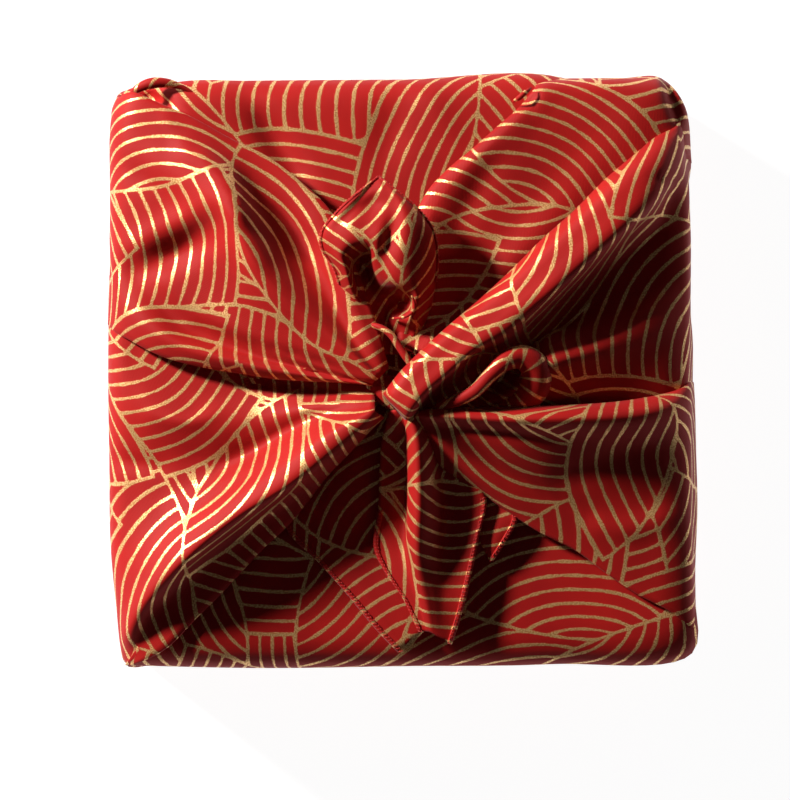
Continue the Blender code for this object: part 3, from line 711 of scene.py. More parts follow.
# The long roll of the right fan: it rises over the facet, crosses the knot as its band and sinks
# beside it in the valley, then swells into the bulge under the loop.
RIGHT_ROLL = (
    ("upper edge", (119.6, 109, 66), (116, 105, 73), (108, 101, 77.6), (99, 93.6, 81), (86, 82.6, 84),
     (72, 68.6, 86), (59, 57, 88), (46, 44, 90.6), (32, 31, 94), (19, 20, 97), (8, 10, 99),
     (-1, 1, 99.4), (-7.7, -7.6, 98), (-8.8, -9.2, 91)),
    ("upper shoulder", (120.2, 106, 66), (117.4, 101.6, 75), (110, 97, 83), (101, 89, 89),
     (88, 78.6, 93), (74, 65, 96), (61, 53, 98), (48, 40.6, 99.6), (34, 28.4, 101), (20.8, 18, 103),
     (9.8, 8, 104.6), (0.8, -0.8, 105), (-6, -9.6, 102.6), (-7.2, -11.4, 94)),
    ("crest", (120.8, 99, 66), (118.6, 94.6, 76), (112, 90, 86), (104, 82.6, 92), (91, 72, 96),
     (77, 59, 99), (64, 46.6, 101), (51, 35, 102.4), (38, 23.6, 103.6), (25, 14, 105), (13.8, 4.2, 106),
     (4.8, -4.4, 106.4), (-2, -13.6, 104.4), (-3.2, -15.6, 96)),
    ("lower shoulder", (121.6, 90, 66), (119.4, 86, 75), (113, 81, 85), (106, 73, 92),
     (94.6, 62.6, 97.4), (81, 50.6, 101), (68, 39, 103), (55, 27.6, 104.4), (41.6, 16.4, 105.4),
     (29.2, 9.2, 106.4), (18.2, -0.4, 107), (9, -8.4, 107), (2, -17.6, 104.4), (0.6, -19.6, 95)),
    ("lower edge", (122.6, 81, 66), (120.4, 78, 72), (114, 75.6, 77), (108, 68, 81), (97, 57.4, 83.6),
     (83.6, 45, 86), (70.6, 34, 88.4), (57.6, 22.6, 91), (44, 11.6, 94), (31, 6.6, 97), (20, -2.4, 98.6),
     (10.6, -10.4, 98.6), (3.8, -19, 97), (2.2, -20.8, 91)),
    ("under the roll", (123, 72, 65), (120.8, 69, 70.6), (114, 66, 74), (107, 59, 75.6), (97, 48, 76),
     (84, 35, 76.6), (72, 24, 77.4), (60, 13.6, 79), (45, 5, 83), (32, 2, 87), (20.6, -6, 90),
     (11, -13.6, 91.6), (4.6, -20, 91), (2.4, -21.6, 88)),
    ("valley", (123.4, 58, 65), (121, 55, 70.6), (114, 53, 74), (106, 47, 75), (96, 38, 75.6),
     (84, 28, 76), (71, 21.6, 77.6), (58.6, 15.4, 80.6), (45.4, 4, 83), (33, -8, 85.6), (21.6, -13, 88),
     (11.6, -17, 89.6), (5, -20.6, 89), (2.6, -22, 86)),
    ("foot of the bulge", (123.4, 43, 65), (121.4, 41, 71), (114.6, 39, 74.6), (106, 33, 76.4),
     (96, 25.6, 78), (84, 19, 81.6), (72, 14.6, 86.6), (60, 9.6, 92.6), (46, -2.6, 90), (33, -11.6, 87),
     (22, -15.6, 89), (12, -18.6, 89.4), (5.6, -20.8, 88), (3, -22.2, 85.6)),
    ("bulge", (123.4, 30, 65), (121.6, 28, 73), (115, 25, 79), (106, 21, 83.6), (96, 16.4, 86.6),
     (84, 11.6, 90), (72.6, 8, 93.6), (60.6, 3, 96.6), (46, -8, 92.6), (33, -14, 88.6), (22, -17, 89),
     (12, -19.4, 88.6), (6, -21, 87), (3.4, -22.4, 85)),
    ("back of the bulge", (123.4, 14, 65), (121.6, 12, 72.6), (115, 9.6, 78), (106, 7, 81),
     (96, 4, 83.6), (84, 0, 86), (72, -3, 88.6), (60, -6.4, 90.6), (46, -13, 88), (33, -17, 86),
     (22, -19, 86), (12, -21, 86), (6, -22, 85), (3, -23, 84)),
    ("under the lower fan", (123.4, -8, 64), (121, -9, 71), (114, -12, 75), (105, -16, 76.6),
     (95, -19, 77.2), (83, -21, 77.6), (71, -22.6, 78), (59, -23, 78.6), (45, -23.6, 80), (33, -23, 82),
     (22, -22.6, 84), (12, -22.6, 84.6), (6, -23, 84), (3, -24, 83)),
)
RIGHT_ROLL_CREASES = (
    # route, width, height
    (((106, 83), (114, 82), (122, 81)), 1.6, -1.8),
    (((110, 60), (92, 44), (74, 24), (58, 10)), 3.0, -1.6),
    (((47, 2), (42.5, -2.7), (38, -7)), 4.4, -9.0),
    (((118, 33), (100, 24), (84, 16)), 4.0, 1.6),
    (((58, 30), (44, 18), (28, 6)), 2.6, -0.8),
)
panel("right roll", RIGHT_ROLL, fine=2.35, feet=(0,) * 11, lift=0.3,
      tucks=(("first", 1.3, 18),), turn=-12, shift=(235, 20), creases=RIGHT_ROLL_CREASES)

# The lower half of the right fan folds over the bulge and down over the front flap, in its own
# shade. Both of its long edges are turned under.
LOWER_RIGHT_FAN = (
    ("upper edge", (123.2, -4, 66), (121.4, -6, 74), (114, -8.4, 79.4), (104, -10.6, 83),
     (90, -12.6, 86.4), (76, -13.6, 89), (62, -14.2, 91), (48, -14.6, 92.6), (34, -15, 94),
     (22, -15, 95.6), (11, -15.6, 96.6), (3, -17, 94)),
    ("crest", (123.6, -10, 66), (121.8, -12, 75.6), (114.6, -14, 85), (104, -16.4, 92), (90, -18, 96.6),
     (76, -18.6, 99.4), (62, -19, 101), (48, -19.4, 101.4), (34, -19, 101), (22, -18.4, 100.6),
     (11.6, -18, 100), (3.4, -18.4, 96)),
    ("dark dent", (123.8, -34, 65), (121.6, -34, 72.6), (114, -34, 78.4), (104, -34, 82),
     (90, -32, 86.4), (76, -30, 90.4), (62, -28, 94), (48, -25.6, 96.4), (34, -24, 96.6),
     (22, -22, 97.4), (12, -20, 98), (3.4, -19.4, 95.6)),
    ("swell", (123.8, -56, 65), (121.4, -54, 72.4), (114, -53, 76.6), (104, -51, 78.4), (90, -48, 81),
     (76, -44.6, 84.8), (62, -39.6, 89), (48, -34, 92.4), (34, -29, 94), (22, -25, 95.4),
     (12, -21.6, 96.6), (3.2, -20, 95)),
    ("lower slope", (124.2, -84, 65), (121.8, -80, 72), (113.6, -76, 76), (103, -71, 77.4),
     (89, -64.6, 79.4), (75, -57.6, 82), (61, -50.6, 85.4), (47, -43.6, 88.6), (34, -36.6, 91),
     (22, -30, 93), (12, -24, 95), (2.4, -20.6, 93.6)),
    ("near the fold", (125, -104, 65), (122, -99, 72), (113, -92.6, 76), (102, -86.6, 77.2),
     (88, -79, 78.6), (74.6, -70.6, 80.2), (60, -62, 82.4), (45, -53.6, 85), (32, -45, 87.4),
     (20, -35.6, 90), (10.6, -27, 92.6), (1.6, -21, 92)),
    ("fold over the front flap", (125.2, -112, 65), (122, -106.6, 71.6), (112, -99.6, 75.6),
     (101, -94, 76.8), (87, -84.6, 78), (74, -75, 79.2), (58, -67, 80.4), (44, -58, 81.6),
     (30, -48.6, 83.4), (17, -40, 86), (8.6, -30, 89.4), (0.6, -21.4, 90)),
)
LOWER_RIGHT_CREASES = (
    # route, width, height
    (((106, -30), (88, -37), (70, -43)), 7.0, -2.2),
    (((12, -22), (36, -24), (60, -27)), 3.0, -1.8),
    (((30, -34), (52, -46), (78, -60)), 5.0, -1.4),
    (((116, -60), (100, -66), (84, -66)), 5.0, 1.4),
)
panel("lower right fan", LOWER_RIGHT_FAN, feet=(0, 0, 0, 0, 0, -12, -26), lift=0.5,
      tucks=(("first", 1.1, 22), ("last", 1.0, 46)), turn=15, shift=(230, -90),
      creases=LOWER_RIGHT_CREASES)

# The loop, a thin roll of cloth that leaves the band, turns round and sinks into the bulge.
LOOP = (
    # x, y, z, radius
    (14, -15, 95, 2.0),
    (21.6, -12.0, 99.4, 2.6),
    (30, -7.8, 101.4, 3.0),
    (37, -0.6, 101.4, 3.3),
    (43.6, 5.2, 99.6, 4.2),
    (50.2, 6.6, 96.4, 5.4),
    (55.6, 2.4, 93.8, 6.4),
    (55.4, -5.6, 90.6, 6.8),
    (49.6, -12.6, 88, 6.2),
    (39, -18, 85, 5.0),
)
strand("loop", LOOP, turn=60, shift=(150, 40))

# The front end of the cloth comes out under the band: a roll in front, a hollow beside it and
# a hemmed strip on its right, all flattening towards the blunt end of the corner. Both of its
# edges are hemmed.
FRONT_END = (
    ("left hem", (-6, -16, 90), (-9, -28, 85), (-10, -42, 82.4), (-10.6, -57, 81), (-12.4, -74, 80.6),
     (-8, -84, 80.8), (0, -96, 81), (6.4, -109.6, 80.2)),
    ("left strip", (-3, -15.6, 93), (-4.4, -28, 86), (-4.6, -42, 82.6), (-5, -57, 81.6), (-6, -74, 81.6),
     (-2.6, -85, 81.8), (3.4, -97, 81.8), (8, -109.8, 80.8)),
    ("foot of the roll", (0, -15, 94), (0.4, -28, 87), (1, -42, 83), (1, -57, 82), (0.6, -74, 82.4),
     (2.4, -86, 83), (6.4, -98, 82.6), (9.6, -110, 81.4)),
    ("left of the roll", (0.6, -14.6, 97), (1.8, -28, 95), (2.2, -42, 92), (2.2, -57, 90), (2, -72, 87),
     (4, -86, 85.4), (7.6, -98.6, 84), (10.4, -110, 82)),
    ("roll", (2, -14.6, 98), (5.6, -28, 98.6), (6.4, -42, 97), (6.6, -57, 95), (6, -72, 91.6),
     (7, -86, 87.6), (10, -99, 85.4), (12, -110.4, 82.6)),
    ("right of the roll", (4, -15.4, 97), (10, -29, 95.4), (11.6, -43, 93), (12, -58, 91),
     (11.6, -73, 88), (11.4, -87, 86), (13, -100, 84.6), (14, -111.6, 82.4)),
    ("hollow", (6, -16, 94), (14, -31, 88), (17.6, -46, 84), (18.6, -60, 82), (18, -75, 82),
     (17, -88, 83), (17, -101, 83), (16.6, -113, 81.8)),
    ("inside the strip", (7.6, -17, 92), (19, -33, 87), (25, -47, 84), (26.6, -59, 82.6),
     (25.4, -73, 82.2), (22.4, -88, 82.4), (20.4, -102, 82.2), (18.6, -114, 81.2)),
    ("right hem", (9, -19, 90), (23, -34, 87), (32, -48, 85.4), (35.2, -54, 84.6), (32, -70, 83.6),
     (28.4, -88, 82.6), (24.4, -104, 81.8), (20.6, -115.6, 80.6)),
)
panel("front end", FRONT_END, fine=1.3, turn=-8, shift=(20, -40))
hem("front end", "first", 0.45, 1.0)
hem("front end", "last", 0.42, 1.0)

# The small hemmed tip that shows beside the front end, a corner of the layer under it.
SMALL_TIP = (
    ("hidden edge", (30, -44, 78.6), (31, -58, 79), (32.6, -71, 79.2), (36.6, -79.4, 79)),
    ("middle", (38, -50, 80), (40, -60, 81.6), (38.6, -71.6, 81.2), (37.6, -79.8, 79.6)),
    ("hem", (46, -56, 80), (48.6, -61.4, 81.4), (43.6, -72, 80.6), (38.4, -80, 79.4)),
)
panel("small tip", SMALL_TIP, fine=1.4, turn=70, shift=(120, -120))
hem("small tip", "last", 0.1, 1.0)

# The back end of the cloth stands over the back flap: a hemmed corner that bends up, sinks in
# an S-shaped hollow and goes down into the knot.
BACK_END = (
    ("left hem", (-10.8, 82.3, 99), (-18.6, 76.6, 101), (-28, 68, 100.6), (-34.6, 59.4, 98.4),
     (-34.8, 53, 97), (-29.6, 45, 95), (-26.6, 36, 93), (-22, 29, 91), (-17, 23, 90), (-13, 17, 89.4),
     (-8, 8, 89)),
    ("left edge's roll", (-10.75, 82.4, 99.4), (-17.4, 76.4, 102.6), (-26, 68, 103.4),
     (-32.6, 59.6, 101.6), (-32.6, 52.6, 100), (-28, 44.4, 99), (-25, 36, 96), (-20.6, 29, 93),
     (-15.6, 23, 90), (-11.6, 17, 88), (-7, 8, 89)),
    ("left flank", (-10.6, 82.5, 99.4), (-15.4, 76.6, 101.8), (-22, 68.6, 103), (-27.6, 60, 104),
     (-27.6, 51.8, 103.6), (-24, 43.4, 103.4), (-21.4, 35, 99.6), (-17.2, 28.6, 94), (-13.6, 23, 90),
     (-10, 17, 88), (-6, 8, 88)),
    ("rise", (-10.5, 82.6, 99.4), (-13.2, 77, 102), (-18, 70, 102.6), (-21.8, 61.8, 105.6),
     (-22.4, 54, 105.4), (-20.9, 44.6, 93), (-17.8, 35, 91), (-14, 28, 89), (-11, 23, 88), (-8, 17, 87),
     (-5, 8, 88)),
    ("kidney hollow", (-10.3, 82.7, 99.4), (-11, 77.2, 102.4), (-13, 71, 102), (-15, 63, 105.4),
     (-16.4, 55.4, 106), (-16.6, 46, 89), (-13.6, 36.6, 88), (-10.4, 28.6, 87), (-8, 23, 88),
     (-6, 17, 87), (-4, 8, 88)),
    ("first ridge", (-10.1, 82.7, 99.4), (-8.6, 77.2, 103), (-7.8, 71, 103.6), (-8.6, 63.4, 106),
     (-10.4, 56, 107.6), (-11.6, 48, 104), (-9.4, 38.4, 97), (-6.4, 31, 86), (-5.6, 24.4, 89),
     (-5, 19.4, 89), (-3, 8, 88)),
    ("second hollow", (-10, 82.6, 99.4), (-6.6, 77, 103.2), (-4, 71, 104.6), (-4.4, 63.6, 105),
     (-6.4, 56, 104.4), (-7.6, 49, 104.4), (-5.4, 38.8, 103), (-2.4, 30, 85), (-2, 23, 91),
     (-2, 18.6, 89), (-2, 8, 88)),
    ("crest", (-9.95, 82.6, 99.4), (-4.6, 76.8, 103.4), (-0.4, 70.6, 105.8), (1, 63, 107.6),
     (0, 54, 107.8), (-1.6, 46.6, 107), (-0.4, 37.4, 104.6), (1.4, 29.6, 87), (1.6, 23.6, 93),
     (0.6, 18.6, 90), (-1, 8, 88)),
    ("lit flank", (-9.9, 82.5, 99.4), (-3, 76.4, 102.8), (3.4, 69.6, 104.6), (7, 61.4, 105.4),
     (7.4, 52, 105), (6, 42.6, 104), (5.6, 36, 103.4), (5.6, 29.4, 100), (4.6, 24.4, 98.6),
     (3, 18.6, 90), (0, 8, 88)),
    ("right flank", (-9.85, 82.4, 99.4), (-2, 75.9, 101.8), (6.2, 68.6, 102), (11.4, 60, 101.6),
     (12.6, 50, 99.6), (11.6, 39, 97), (10, 31, 95), (9, 27, 94), (7.6, 22.6, 92), (5.4, 17.6, 89.6),
     (1, 8, 89)),
    ("right hem", (-9.8, 82.3, 99), (-1.4, 75.4, 100.8), (7.6, 67.8, 99.8), (13.4, 59, 98),
     (14.8, 48, 94), (13.6, 36, 90.6), (12, 28, 88.6), (10.6, 24, 88), (9, 20, 87.6), (7, 16, 87.6),
     (3, 8, 88)),
)
panel("back end", BACK_END, fine=1.25, turn=15, shift=(-20, 60))
hem("back end", "first", 0.0, 0.62)
hem("back end", "last", 0.0, 0.5)

# The lip, the rolled edge of the back end where it curls over the dark pocket behind the band.
LIP = (
    # x, y, z, radius
    (3.6, 32.6, 101.6, 0.4),
    (4.8, 29.6, 100.8, 0.6),
    (4.4, 26.4, 99.4, 0.7),
    (1.8, 24.2, 97.4, 0.7),
    (-1.6, 23.2, 95.0, 0.6),
    (-4.6, 23.2, 92.0, 0.4),
)
strand("lip", LIP, first=-150, last=150, fine=0.8, turn=80, shift=(40, 100))

# The curled hem, a thin roll that comes out behind the band and runs under it.
CURLED_HEM = (
    # x, y, z, radius
    (-17.6, 20.4, 90, 0.8),
    (-13.4, 20.2, 94.4, 1.2),
    (-9.6, 19.2, 96.6, 1.4),
    (-5.6, 16.6, 97.8, 1.5),
    (-2, 11.6, 98.6, 1.6),
    (2, 5.6, 99, 1.6),
    (6, 0.6, 98, 1.4),
)
strand("curled hem", CURLED_HEM, first=-100, last=140, fine=1.0, turn=10, shift=(90, 60))

# The turn of the knot under its band, which fills the dark place between the strands.
KNOT_TURN = (
    # x, y, z, radius
    (-16, -5, 84, 5.0),
    (-8, -7, 86, 6.6),
    (0, -11, 87, 7.0),
    (8, -17, 85, 6.0),
    (13, -21, 83, 4.0),
)
strand("knot turn", KNOT_TURN, first=-120, last=120, fine=1.6, turn=45, shift=(10, 10))


def join_panels():
    """All panels as one mesh of thin cloth, its flat places kept as a UV map."""
    work = bmesh.new()
    flat_layer = work.loops.layers.uv.new("flat cloth")
    for name, grid, flat in PANELS:
        grid[..., 2] = np.maximum(grid[..., 2], LOWEST)
        facing = np.cross(np.gradient(grid, axis=0), np.gradient(grid, axis=1))[..., 2].sum()
        if (facing > 0) == (name == "underside"):
            grid, flat = grid[:, ::-1], flat[:, ::-1]
        spots = [[work.verts.new(place * MM) for place in line] for line in grid]
        for i in range(len(spots) - 1):
            for j in range(len(spots[i]) - 1):
                corners = ((i, j), (i + 1, j), (i + 1, j + 1), (i, j + 1))
                face = work.faces.new([spots[a][b] for a, b in corners])
                for loop, (a, b) in zip(face.loops, corners):
                    loop[flat_layer].uv = flat[a, b]
    mesh = bpy.data.meshes.new("wrapping cloth")
    work.to_mesh(mesh)
    work.free()
    cloth = bpy.data.objects.new("wrapping_cloth", mesh)
    bpy.context.scene.collection.objects.link(cloth)
    return cloth


class Number:
    """A socket that Python sums can be written with; plain numbers join in as they are."""

    def __init__(self, tree, socket):
        self.tree = tree
        self.socket = socket

    def feed(self, socket, value):
        """Gives a socket its value, which is another Number or a plain one."""
        if isinstance(value, Number):
            self.tree.links.new(value.socket, socket)
        else:
            socket.default_value = value

    def node(self, kind, settings, **inputs):
        """Any other node: its settings first, then its inputs by name."""
        made = self.tree.nodes.new(kind)
        for name, value in settings.items():
            setattr(made, name, value)
        for name, value in inputs.items():
            self.feed(made.inputs[name.replace("_", " ")], value)
        return made

    def math(self, operation, *values):
        made = self.node("ShaderNodeMath", {"operation": operation})
        for socket, value in zip(made.inputs, (self,) + values):
            self.feed(socket, value)
        return Number(self.tree, made.outputs[0])

    def __add__(self, other):
        return self.math("ADD", other)

    def __sub__(self, other):
        return self.math("SUBTRACT", other)

    def __rsub__(self, other):
        return self.math("MULTIPLY", -1.0) + other

    def __mul__(self, other):
        return self.math("MULTIPLY", other)

    def __truediv__(self, other):
        return self.math("DIVIDE", other)

    __radd__ = __add__
    __rmul__ = __mul__

    def clamp(self):
        """The same number held between 0 and 1."""
        held = self.math("ADD", 0.0)
        held.socket.node.use_clamp = True
        return held

    def mix(self, first, second, kind="FLOAT", sockets="VALUE"):
        """Between two numbers by this share."""
        made = self.node("ShaderNodeMix", {"data_type": kind})
        self.feed(made.inputs[0], self)
        ends = [socket for socket in made.inputs[1:] if socket.type == sockets]
        for socket, value in zip(ends, (first, second)):
            self.feed(socket, value)
        return Number(self.tree, [socket for socket in made.outputs if socket.type == sockets][0])

    def mix_colours(self, first, second):
        """Between two colours by this share."""
        return self.mix(first, second, kind="RGBA", sockets="RGBA")


# The print: overlapping leaf-shaped patches of curved stripes on a tile that repeats. Every
# stripe is a gap between two gold lines, and each leaf has a gold rim. It is charted.
TILE = 250.0
STRIPE_PITCH = 6.1
GOLD_HALF = 0.62
FILLET = 1.5
LEAVES = (
    # x, y, turn in degrees, half length, half width; drawn in this order
    (30, 30, 20, 112, 62),
    (150, 20, 260, 108, 58),
    (95, 120, 150, 112, 62),
    (215, 110, 60, 108, 60),
    (40, 200, 300, 104, 56),
    (165, 210, 190, 112, 58),
    (240, 200, 110, 92, 48),
    (100, 40, 310, 84, 44),
    (30, 120, 75, 86, 42),
    (180, 150, 170, 86, 42),
    (110, 190, 235, 80, 40),
    (215, 40, 25, 82, 40),
    (60, 75, 165, 66, 28),
    (140, 90, 280, 64, 30),
    (20, 235, 40, 62, 27),
    (200, 190, 255, 60, 26),
    (75, 160, 5, 54, 22),
    (160, 40, 130, 54, 23),
    (240, 120, 185, 52, 21),
    (125, 240, 335, 54, 22),
)
RED = (0.43, 0.008, 0.006, 1.0)
DEEP_RED = (0.32, 0.005, 0.005, 1.0)
GOLD = (1.0, 0.66, 0.31, 1.0)
DULL_GOLD = (0.54, 0.21, 0.06, 1.0)

# The leaves sway a little, the gold lines' edges wander and fray, and the gold comes off in
# flakes. The dye is cloudy over the fine slanting threads of the twill.
SWAY_SCALE = 11.0
SWAY_REACH = 14.0
WANDER_SCALE = 160.0
WANDER_REACH = 0.7
GRAIN_SCALE = 1900.0
FRAY_REACH = 0.5
LINE_EDGE = 3.0
FLAKE_START = 0.42
FLAKE_EDGE = 7.0
CLOUD_SCALE = 30.0
CLOUD_DEPTH = 1.6
THREAD_HALF = 0.45
THREAD_DEPTH = 0.25
GRAIN_DEPTH = 0.3
DYE_BASE = 0.2
METAL_BASE = 0.35
METAL_FLAKE = 0.4
CLOTH_ROUGHNESS = 0.62
GOLD_ROUGHNESS = 0.40
THREAD_RELIEF = 0.06
GRAIN_RELIEF = 0.05
GOLD_RELIEF = 0.04
CLOTH_FINISH = (
    # input of the shader, value
    ("Sheen Weight", 0.05),
    ("Sheen Roughness", 0.4),
    ("Specular IOR Level", 0.18),
)


def printed_cotton():
    """Red cotton twill printed with gold lines, laid out on the flat cloth in millimetres."""
    material = bpy.data.materials.new("printed cotton twill")
    material.use_nodes = True
    tree = material.node_tree
    shader = tree.nodes["Principled BSDF"]
    start = Number(tree, None)
    place = Number(tree, start.node("ShaderNodeUVMap", {"uv_map": "flat cloth"}).outputs["UV"])

    def noise(scale, detail, output="Fac"):
        made = start.node("ShaderNodeTexNoise", {"noise_dimensions": "2D"}, Vector=place,
                          Scale=scale, Detail=detail)
        return Number(tree, made.outputs[output])

    sway = start.node("ShaderNodeSeparateColor", {}, Color=noise(SWAY_SCALE, 1.0, "Color"))
    split = start.node("ShaderNodeSeparateXYZ", {}, Vector=place)
    x = Number(tree, split.outputs["X"]) * (1 / MM)
    y = Number(tree, split.outputs["Y"]) * (1 / MM)
    x = x + (Number(tree, sway.outputs["Red"]) - 0.5) * SWAY_REACH
    y = y + (Number(tree, sway.outputs["Green"]) - 0.5) * SWAY_REACH

    line = y.math("PINGPONG", STRIPE_PITCH / 2)
    for leaf_x, leaf_y, leaf_turn, half_length, half_width in LEAVES:
        radius = (half_length ** 2 + half_width ** 2) / (2 * half_width)
        off_x = math.cos(math.radians(leaf_turn)) * (radius - half_width)
        off_y = math.sin(math.radians(leaf_turn)) * (radius - half_width)
        near_x = (x - leaf_x).math("WRAP", TILE / 2, -TILE / 2)
        near_y = (y - leaf_y).math("WRAP", TILE / 2, -TILE / 2)
        one_x, one_y, two_x, two_y = near_x - off_x, near_y - off_y, near_x + off_x, near_y + off_y
        to_one = radius - (one_x * one_x + one_y * one_y).math("SQRT")
        to_two = radius - (two_x * two_x + two_y * two_y).math("SQRT")
        inside = to_one.math("MINIMUM", to_two)
        rim = inside.math("ABSOLUTE")
        within = to_one.math("PINGPONG", STRIPE_PITCH / 2).math("SMOOTH_MIN", rim, FILLET)
        without = line.math("SMOOTH_MIN", rim, FILLET)
        line = inside.math("GREATER_THAN", 0.0).mix(without, within)

    grain = noise(GRAIN_SCALE, 2.0)
    wander = noise(WANDER_SCALE, 1.0)
    half_width = GOLD_HALF + (wander - 0.5) * WANDER_REACH + (grain - 0.5) * FRAY_REACH
    gold = ((half_width - line) * LINE_EDGE + 0.5).clamp()
    flake = ((grain - FLAKE_START) * FLAKE_EDGE).clamp()

    cloud = noise(CLOUD_SCALE, 3.0)
    thread = (x + y).math("PINGPONG", THREAD_HALF) / THREAD_HALF
    dye = (cloud - 0.5) * CLOUD_DEPTH + thread * THREAD_DEPTH + grain * GRAIN_DEPTH + DYE_BASE
    dyed = dye.clamp().mix_colours(DEEP_RED, RED)
    leafed = flake.mix_colours(DULL_GOLD, GOLD)
    start.feed(shader.inputs["Base Color"], gold.mix_colours(dyed, leafed))
    start.feed(shader.inputs["Metallic"], gold * (flake * METAL_FLAKE + METAL_BASE))
    start.feed(shader.inputs["Roughness"], gold.mix(CLOTH_ROUGHNESS, GOLD_ROUGHNESS))
    for label, value in CLOTH_FINISH:
        shader.inputs[label].default_value = value
    height = thread * THREAD_RELIEF + grain * GRAIN_RELIEF + gold * GOLD_RELIEF
    bump = start.node("ShaderNodeBump", {}, Strength=0.6, Distance=1.0 * MM, Height=height)
    tree.links.new(bump.outputs["Normal"], shader.inputs["Normal"])
    return material


cloth = join_panels()
cloth.data.materials.append(printed_cotton())
thickness = cloth.modifiers.new("thickness", "SOLIDIFY")
thickness.thickness = CLOTH * MM
thickness.offset = -1
cloth.data.shade_smooth()

# The hem's stitches. Red cotton thread holds the doubled edge: bars across the hem, as an
# overlock machine makes them, and a line of short stitches along its inner side.
STITCH_PITCH = 1.6
BAR_SIZE = (1.0, 0.2, 0.16)
SEAM_SIZE = (0.62, 0.2, 0.18)
BAR_SHIFT = -0.95
BAR_SLANT = 0.35
UNEVEN = 0.12
UNEVEN_SEED = 7
THREAD_RED = (0.66, 0.02, 0.014, 1.0)
THREAD_DARK = (0.34, 0.006, 0.006, 1.0)
PLY_SCALE = 2600.0


def thread_material():
    """Red sewing cotton, darker between its plies."""
    material = bpy.data.materials.new("red sewing thread")
    material.use_nodes = True
    tree = material.node_tree
    shader = tree.nodes["Principled BSDF"]
    start = Number(tree, None)
    coordinates = start.node("ShaderNodeTexCoord", {})
    place = Number(tree, coordinates.outputs["Object"])
    ply = start.node("ShaderNodeTexNoise", {}, Vector=place, Scale=PLY_SCALE, Detail=1.0)
    ply = Number(tree, ply.outputs["Fac"])
    start.feed(shader.inputs["Base Color"], ply.mix_colours(THREAD_DARK, THREAD_RED))
    shader.inputs["Roughness"].default_value = 0.5
    shader.inputs["Sheen Weight"].default_value = 0.1
    bump = start.node("ShaderNodeBump", {}, Strength=0.5, Distance=0.2 * MM, Height=ply)
    tree.links.new(bump.outputs["Normal"], shader.inputs["Normal"])
    return material


def stitch_lines():
    """The lines that the stitches follow; each place knows the ways out of and into the cloth."""
    places, edges, ups, inwards = [], [], [], []
    for line in STITCH_LINES:
        edges += [(len(places) + k, len(places) + k + 1) for k in range(len(line) - 1)]
        for seam, up, inward in line:
            places.append(tuple(seam * MM))
            ups.append(up)
            inwards.append(inward / np.linalg.norm(inward))
    mesh = bpy.data.meshes.new("hem stitches")
    mesh.from_pydata(places, edges, [])
    for label, values in (("outward", ups), ("inward", inwards)):
        layer = mesh.attributes.new(label, "FLOAT_VECTOR", "POINT")
        layer.data.foreach_set("vector", np.array(values, dtype=np.float32).ravel())
    lines = bpy.data.objects.new("hem_stitches", mesh)
    bpy.context.scene.collection.objects.link(lines)
    return lines


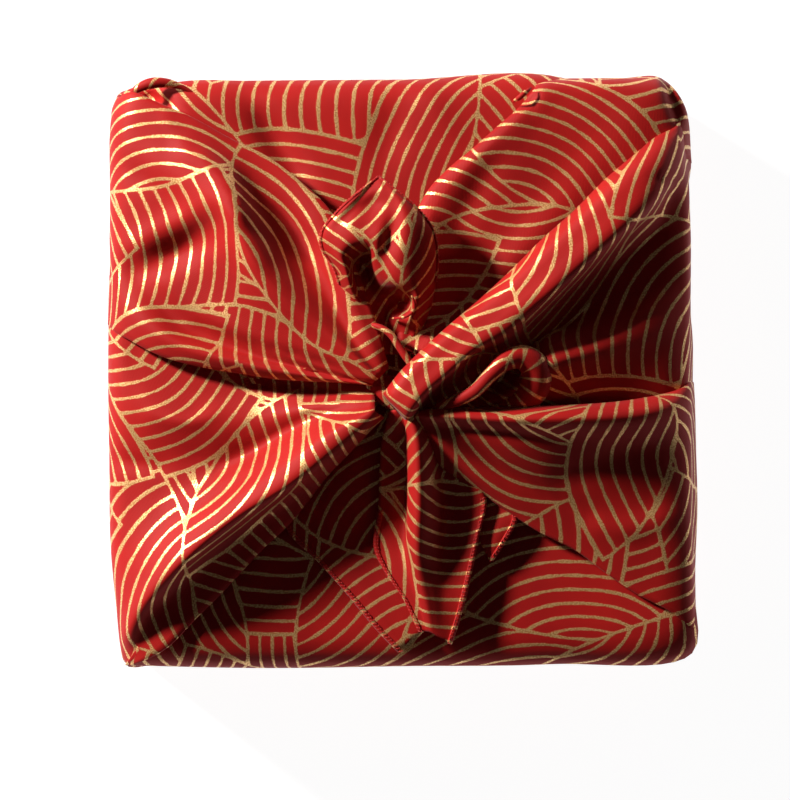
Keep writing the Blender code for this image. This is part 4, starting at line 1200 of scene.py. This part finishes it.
def stitch_tree():
    """Puts a bar and a seam stitch at every pitch of each line."""
    tree = bpy.data.node_groups.new("hem stitches", "GeometryNodeTree")
    tree.interface.new_socket("Lines", in_out="INPUT", socket_type="NodeSocketGeometry")
    tree.interface.new_socket("Pitch", in_out="INPUT", socket_type="NodeSocketFloat")
    tree.interface.new_socket("Stitches", in_out="OUTPUT", socket_type="NodeSocketGeometry")
    start = Number(tree, None)
    given = start.node("NodeGroupInput", {})

    def made(kind, settings=None, output=0, **inputs):
        return Number(tree, start.node(kind, settings or {}, **inputs).outputs[output])

    curve = made("GeometryNodeMeshToCurve", Mesh=Number(tree, given.outputs["Lines"]))
    curve = made("GeometryNodeResampleCurve", {"mode": "LENGTH"}, Curve=curve,
                 Length=Number(tree, given.outputs["Pitch"]))
    outward = made("GeometryNodeInputNamedAttribute", {"data_type": "FLOAT_VECTOR"}, Name="outward")
    inward = made("GeometryNodeInputNamedAttribute", {"data_type": "FLOAT_VECTOR"}, Name="inward")
    tangent = made("GeometryNodeInputTangent")
    jitter = made("FunctionNodeRandomValue", {"data_type": "FLOAT_VECTOR"}, Seed=UNEVEN_SEED,
                  Min=(-UNEVEN * MM,) * 3, Max=(UNEVEN * MM,) * 3)
    slanted = made("ShaderNodeVectorMath", {"operation": "MULTIPLY_ADD"})
    for socket, value in zip(slanted.socket.node.inputs, (tangent, (BAR_SLANT,) * 3, inward)):
        start.feed(socket, value)
    shift = made("ShaderNodeVectorMath", {"operation": "SCALE"}, Vector=inward, Scale=BAR_SHIFT * MM)
    join = tree.nodes.new("GeometryNodeJoinGeometry")
    for size, ahead, moved in ((BAR_SIZE, slanted, shift), (SEAM_SIZE, tangent, jitter)):
        turn = made("FunctionNodeAlignRotationToVector", {"axis": "Z"}, Vector=outward)
        turn = made("FunctionNodeAlignRotationToVector", {"axis": "X", "pivot_axis": "Z"}, Rotation=turn,
                    Vector=ahead)
        placed = made("GeometryNodeSetPosition", Geometry=curve, Offset=moved)
        stitch = made("GeometryNodeMeshIcoSphere", Radius=1.0, Subdivisions=1)
        stitch = made("GeometryNodeTransform", Geometry=stitch, Scale=tuple(part * MM for part in size))
        row = made("GeometryNodeInstanceOnPoints", Points=placed, Instance=stitch, Rotation=turn)
        row = made("GeometryNodeRealizeInstances", Geometry=row)
        tree.links.new(row.socket, join.inputs["Geometry"])
    whole = made("GeometryNodeRealizeInstances", Geometry=Number(tree, join.outputs[0]))
    whole = made("GeometryNodeSetMaterial", Geometry=whole, Material=thread_material())
    start.node("NodeGroupOutput", {}, Stitches=whole)
    return tree


stitches = stitch_lines()
sewing = stitches.modifiers.new("sewing", "NODES")
sewing.node_group = stitch_tree()
pitch = [item for item in sewing.node_group.interface.items_tree if item.name == "Pitch"][0]
sewing[pitch.identifier] = STITCH_PITCH * MM
bpy.context.view_layer.update()
sewn = stitches.evaluated_get(bpy.context.evaluated_depsgraph_get())
plain = bpy.data.meshes.new_from_object(sewn)
stitches.modifiers.remove(sewing)
stitches.data = plain
stitches.data.shade_smooth()
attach(stitches, "root")

# The cloth is one sheet with its stitches. It stands in for the solid of the whole parcel.
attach(cloth, "root")
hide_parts("gift_wrap")
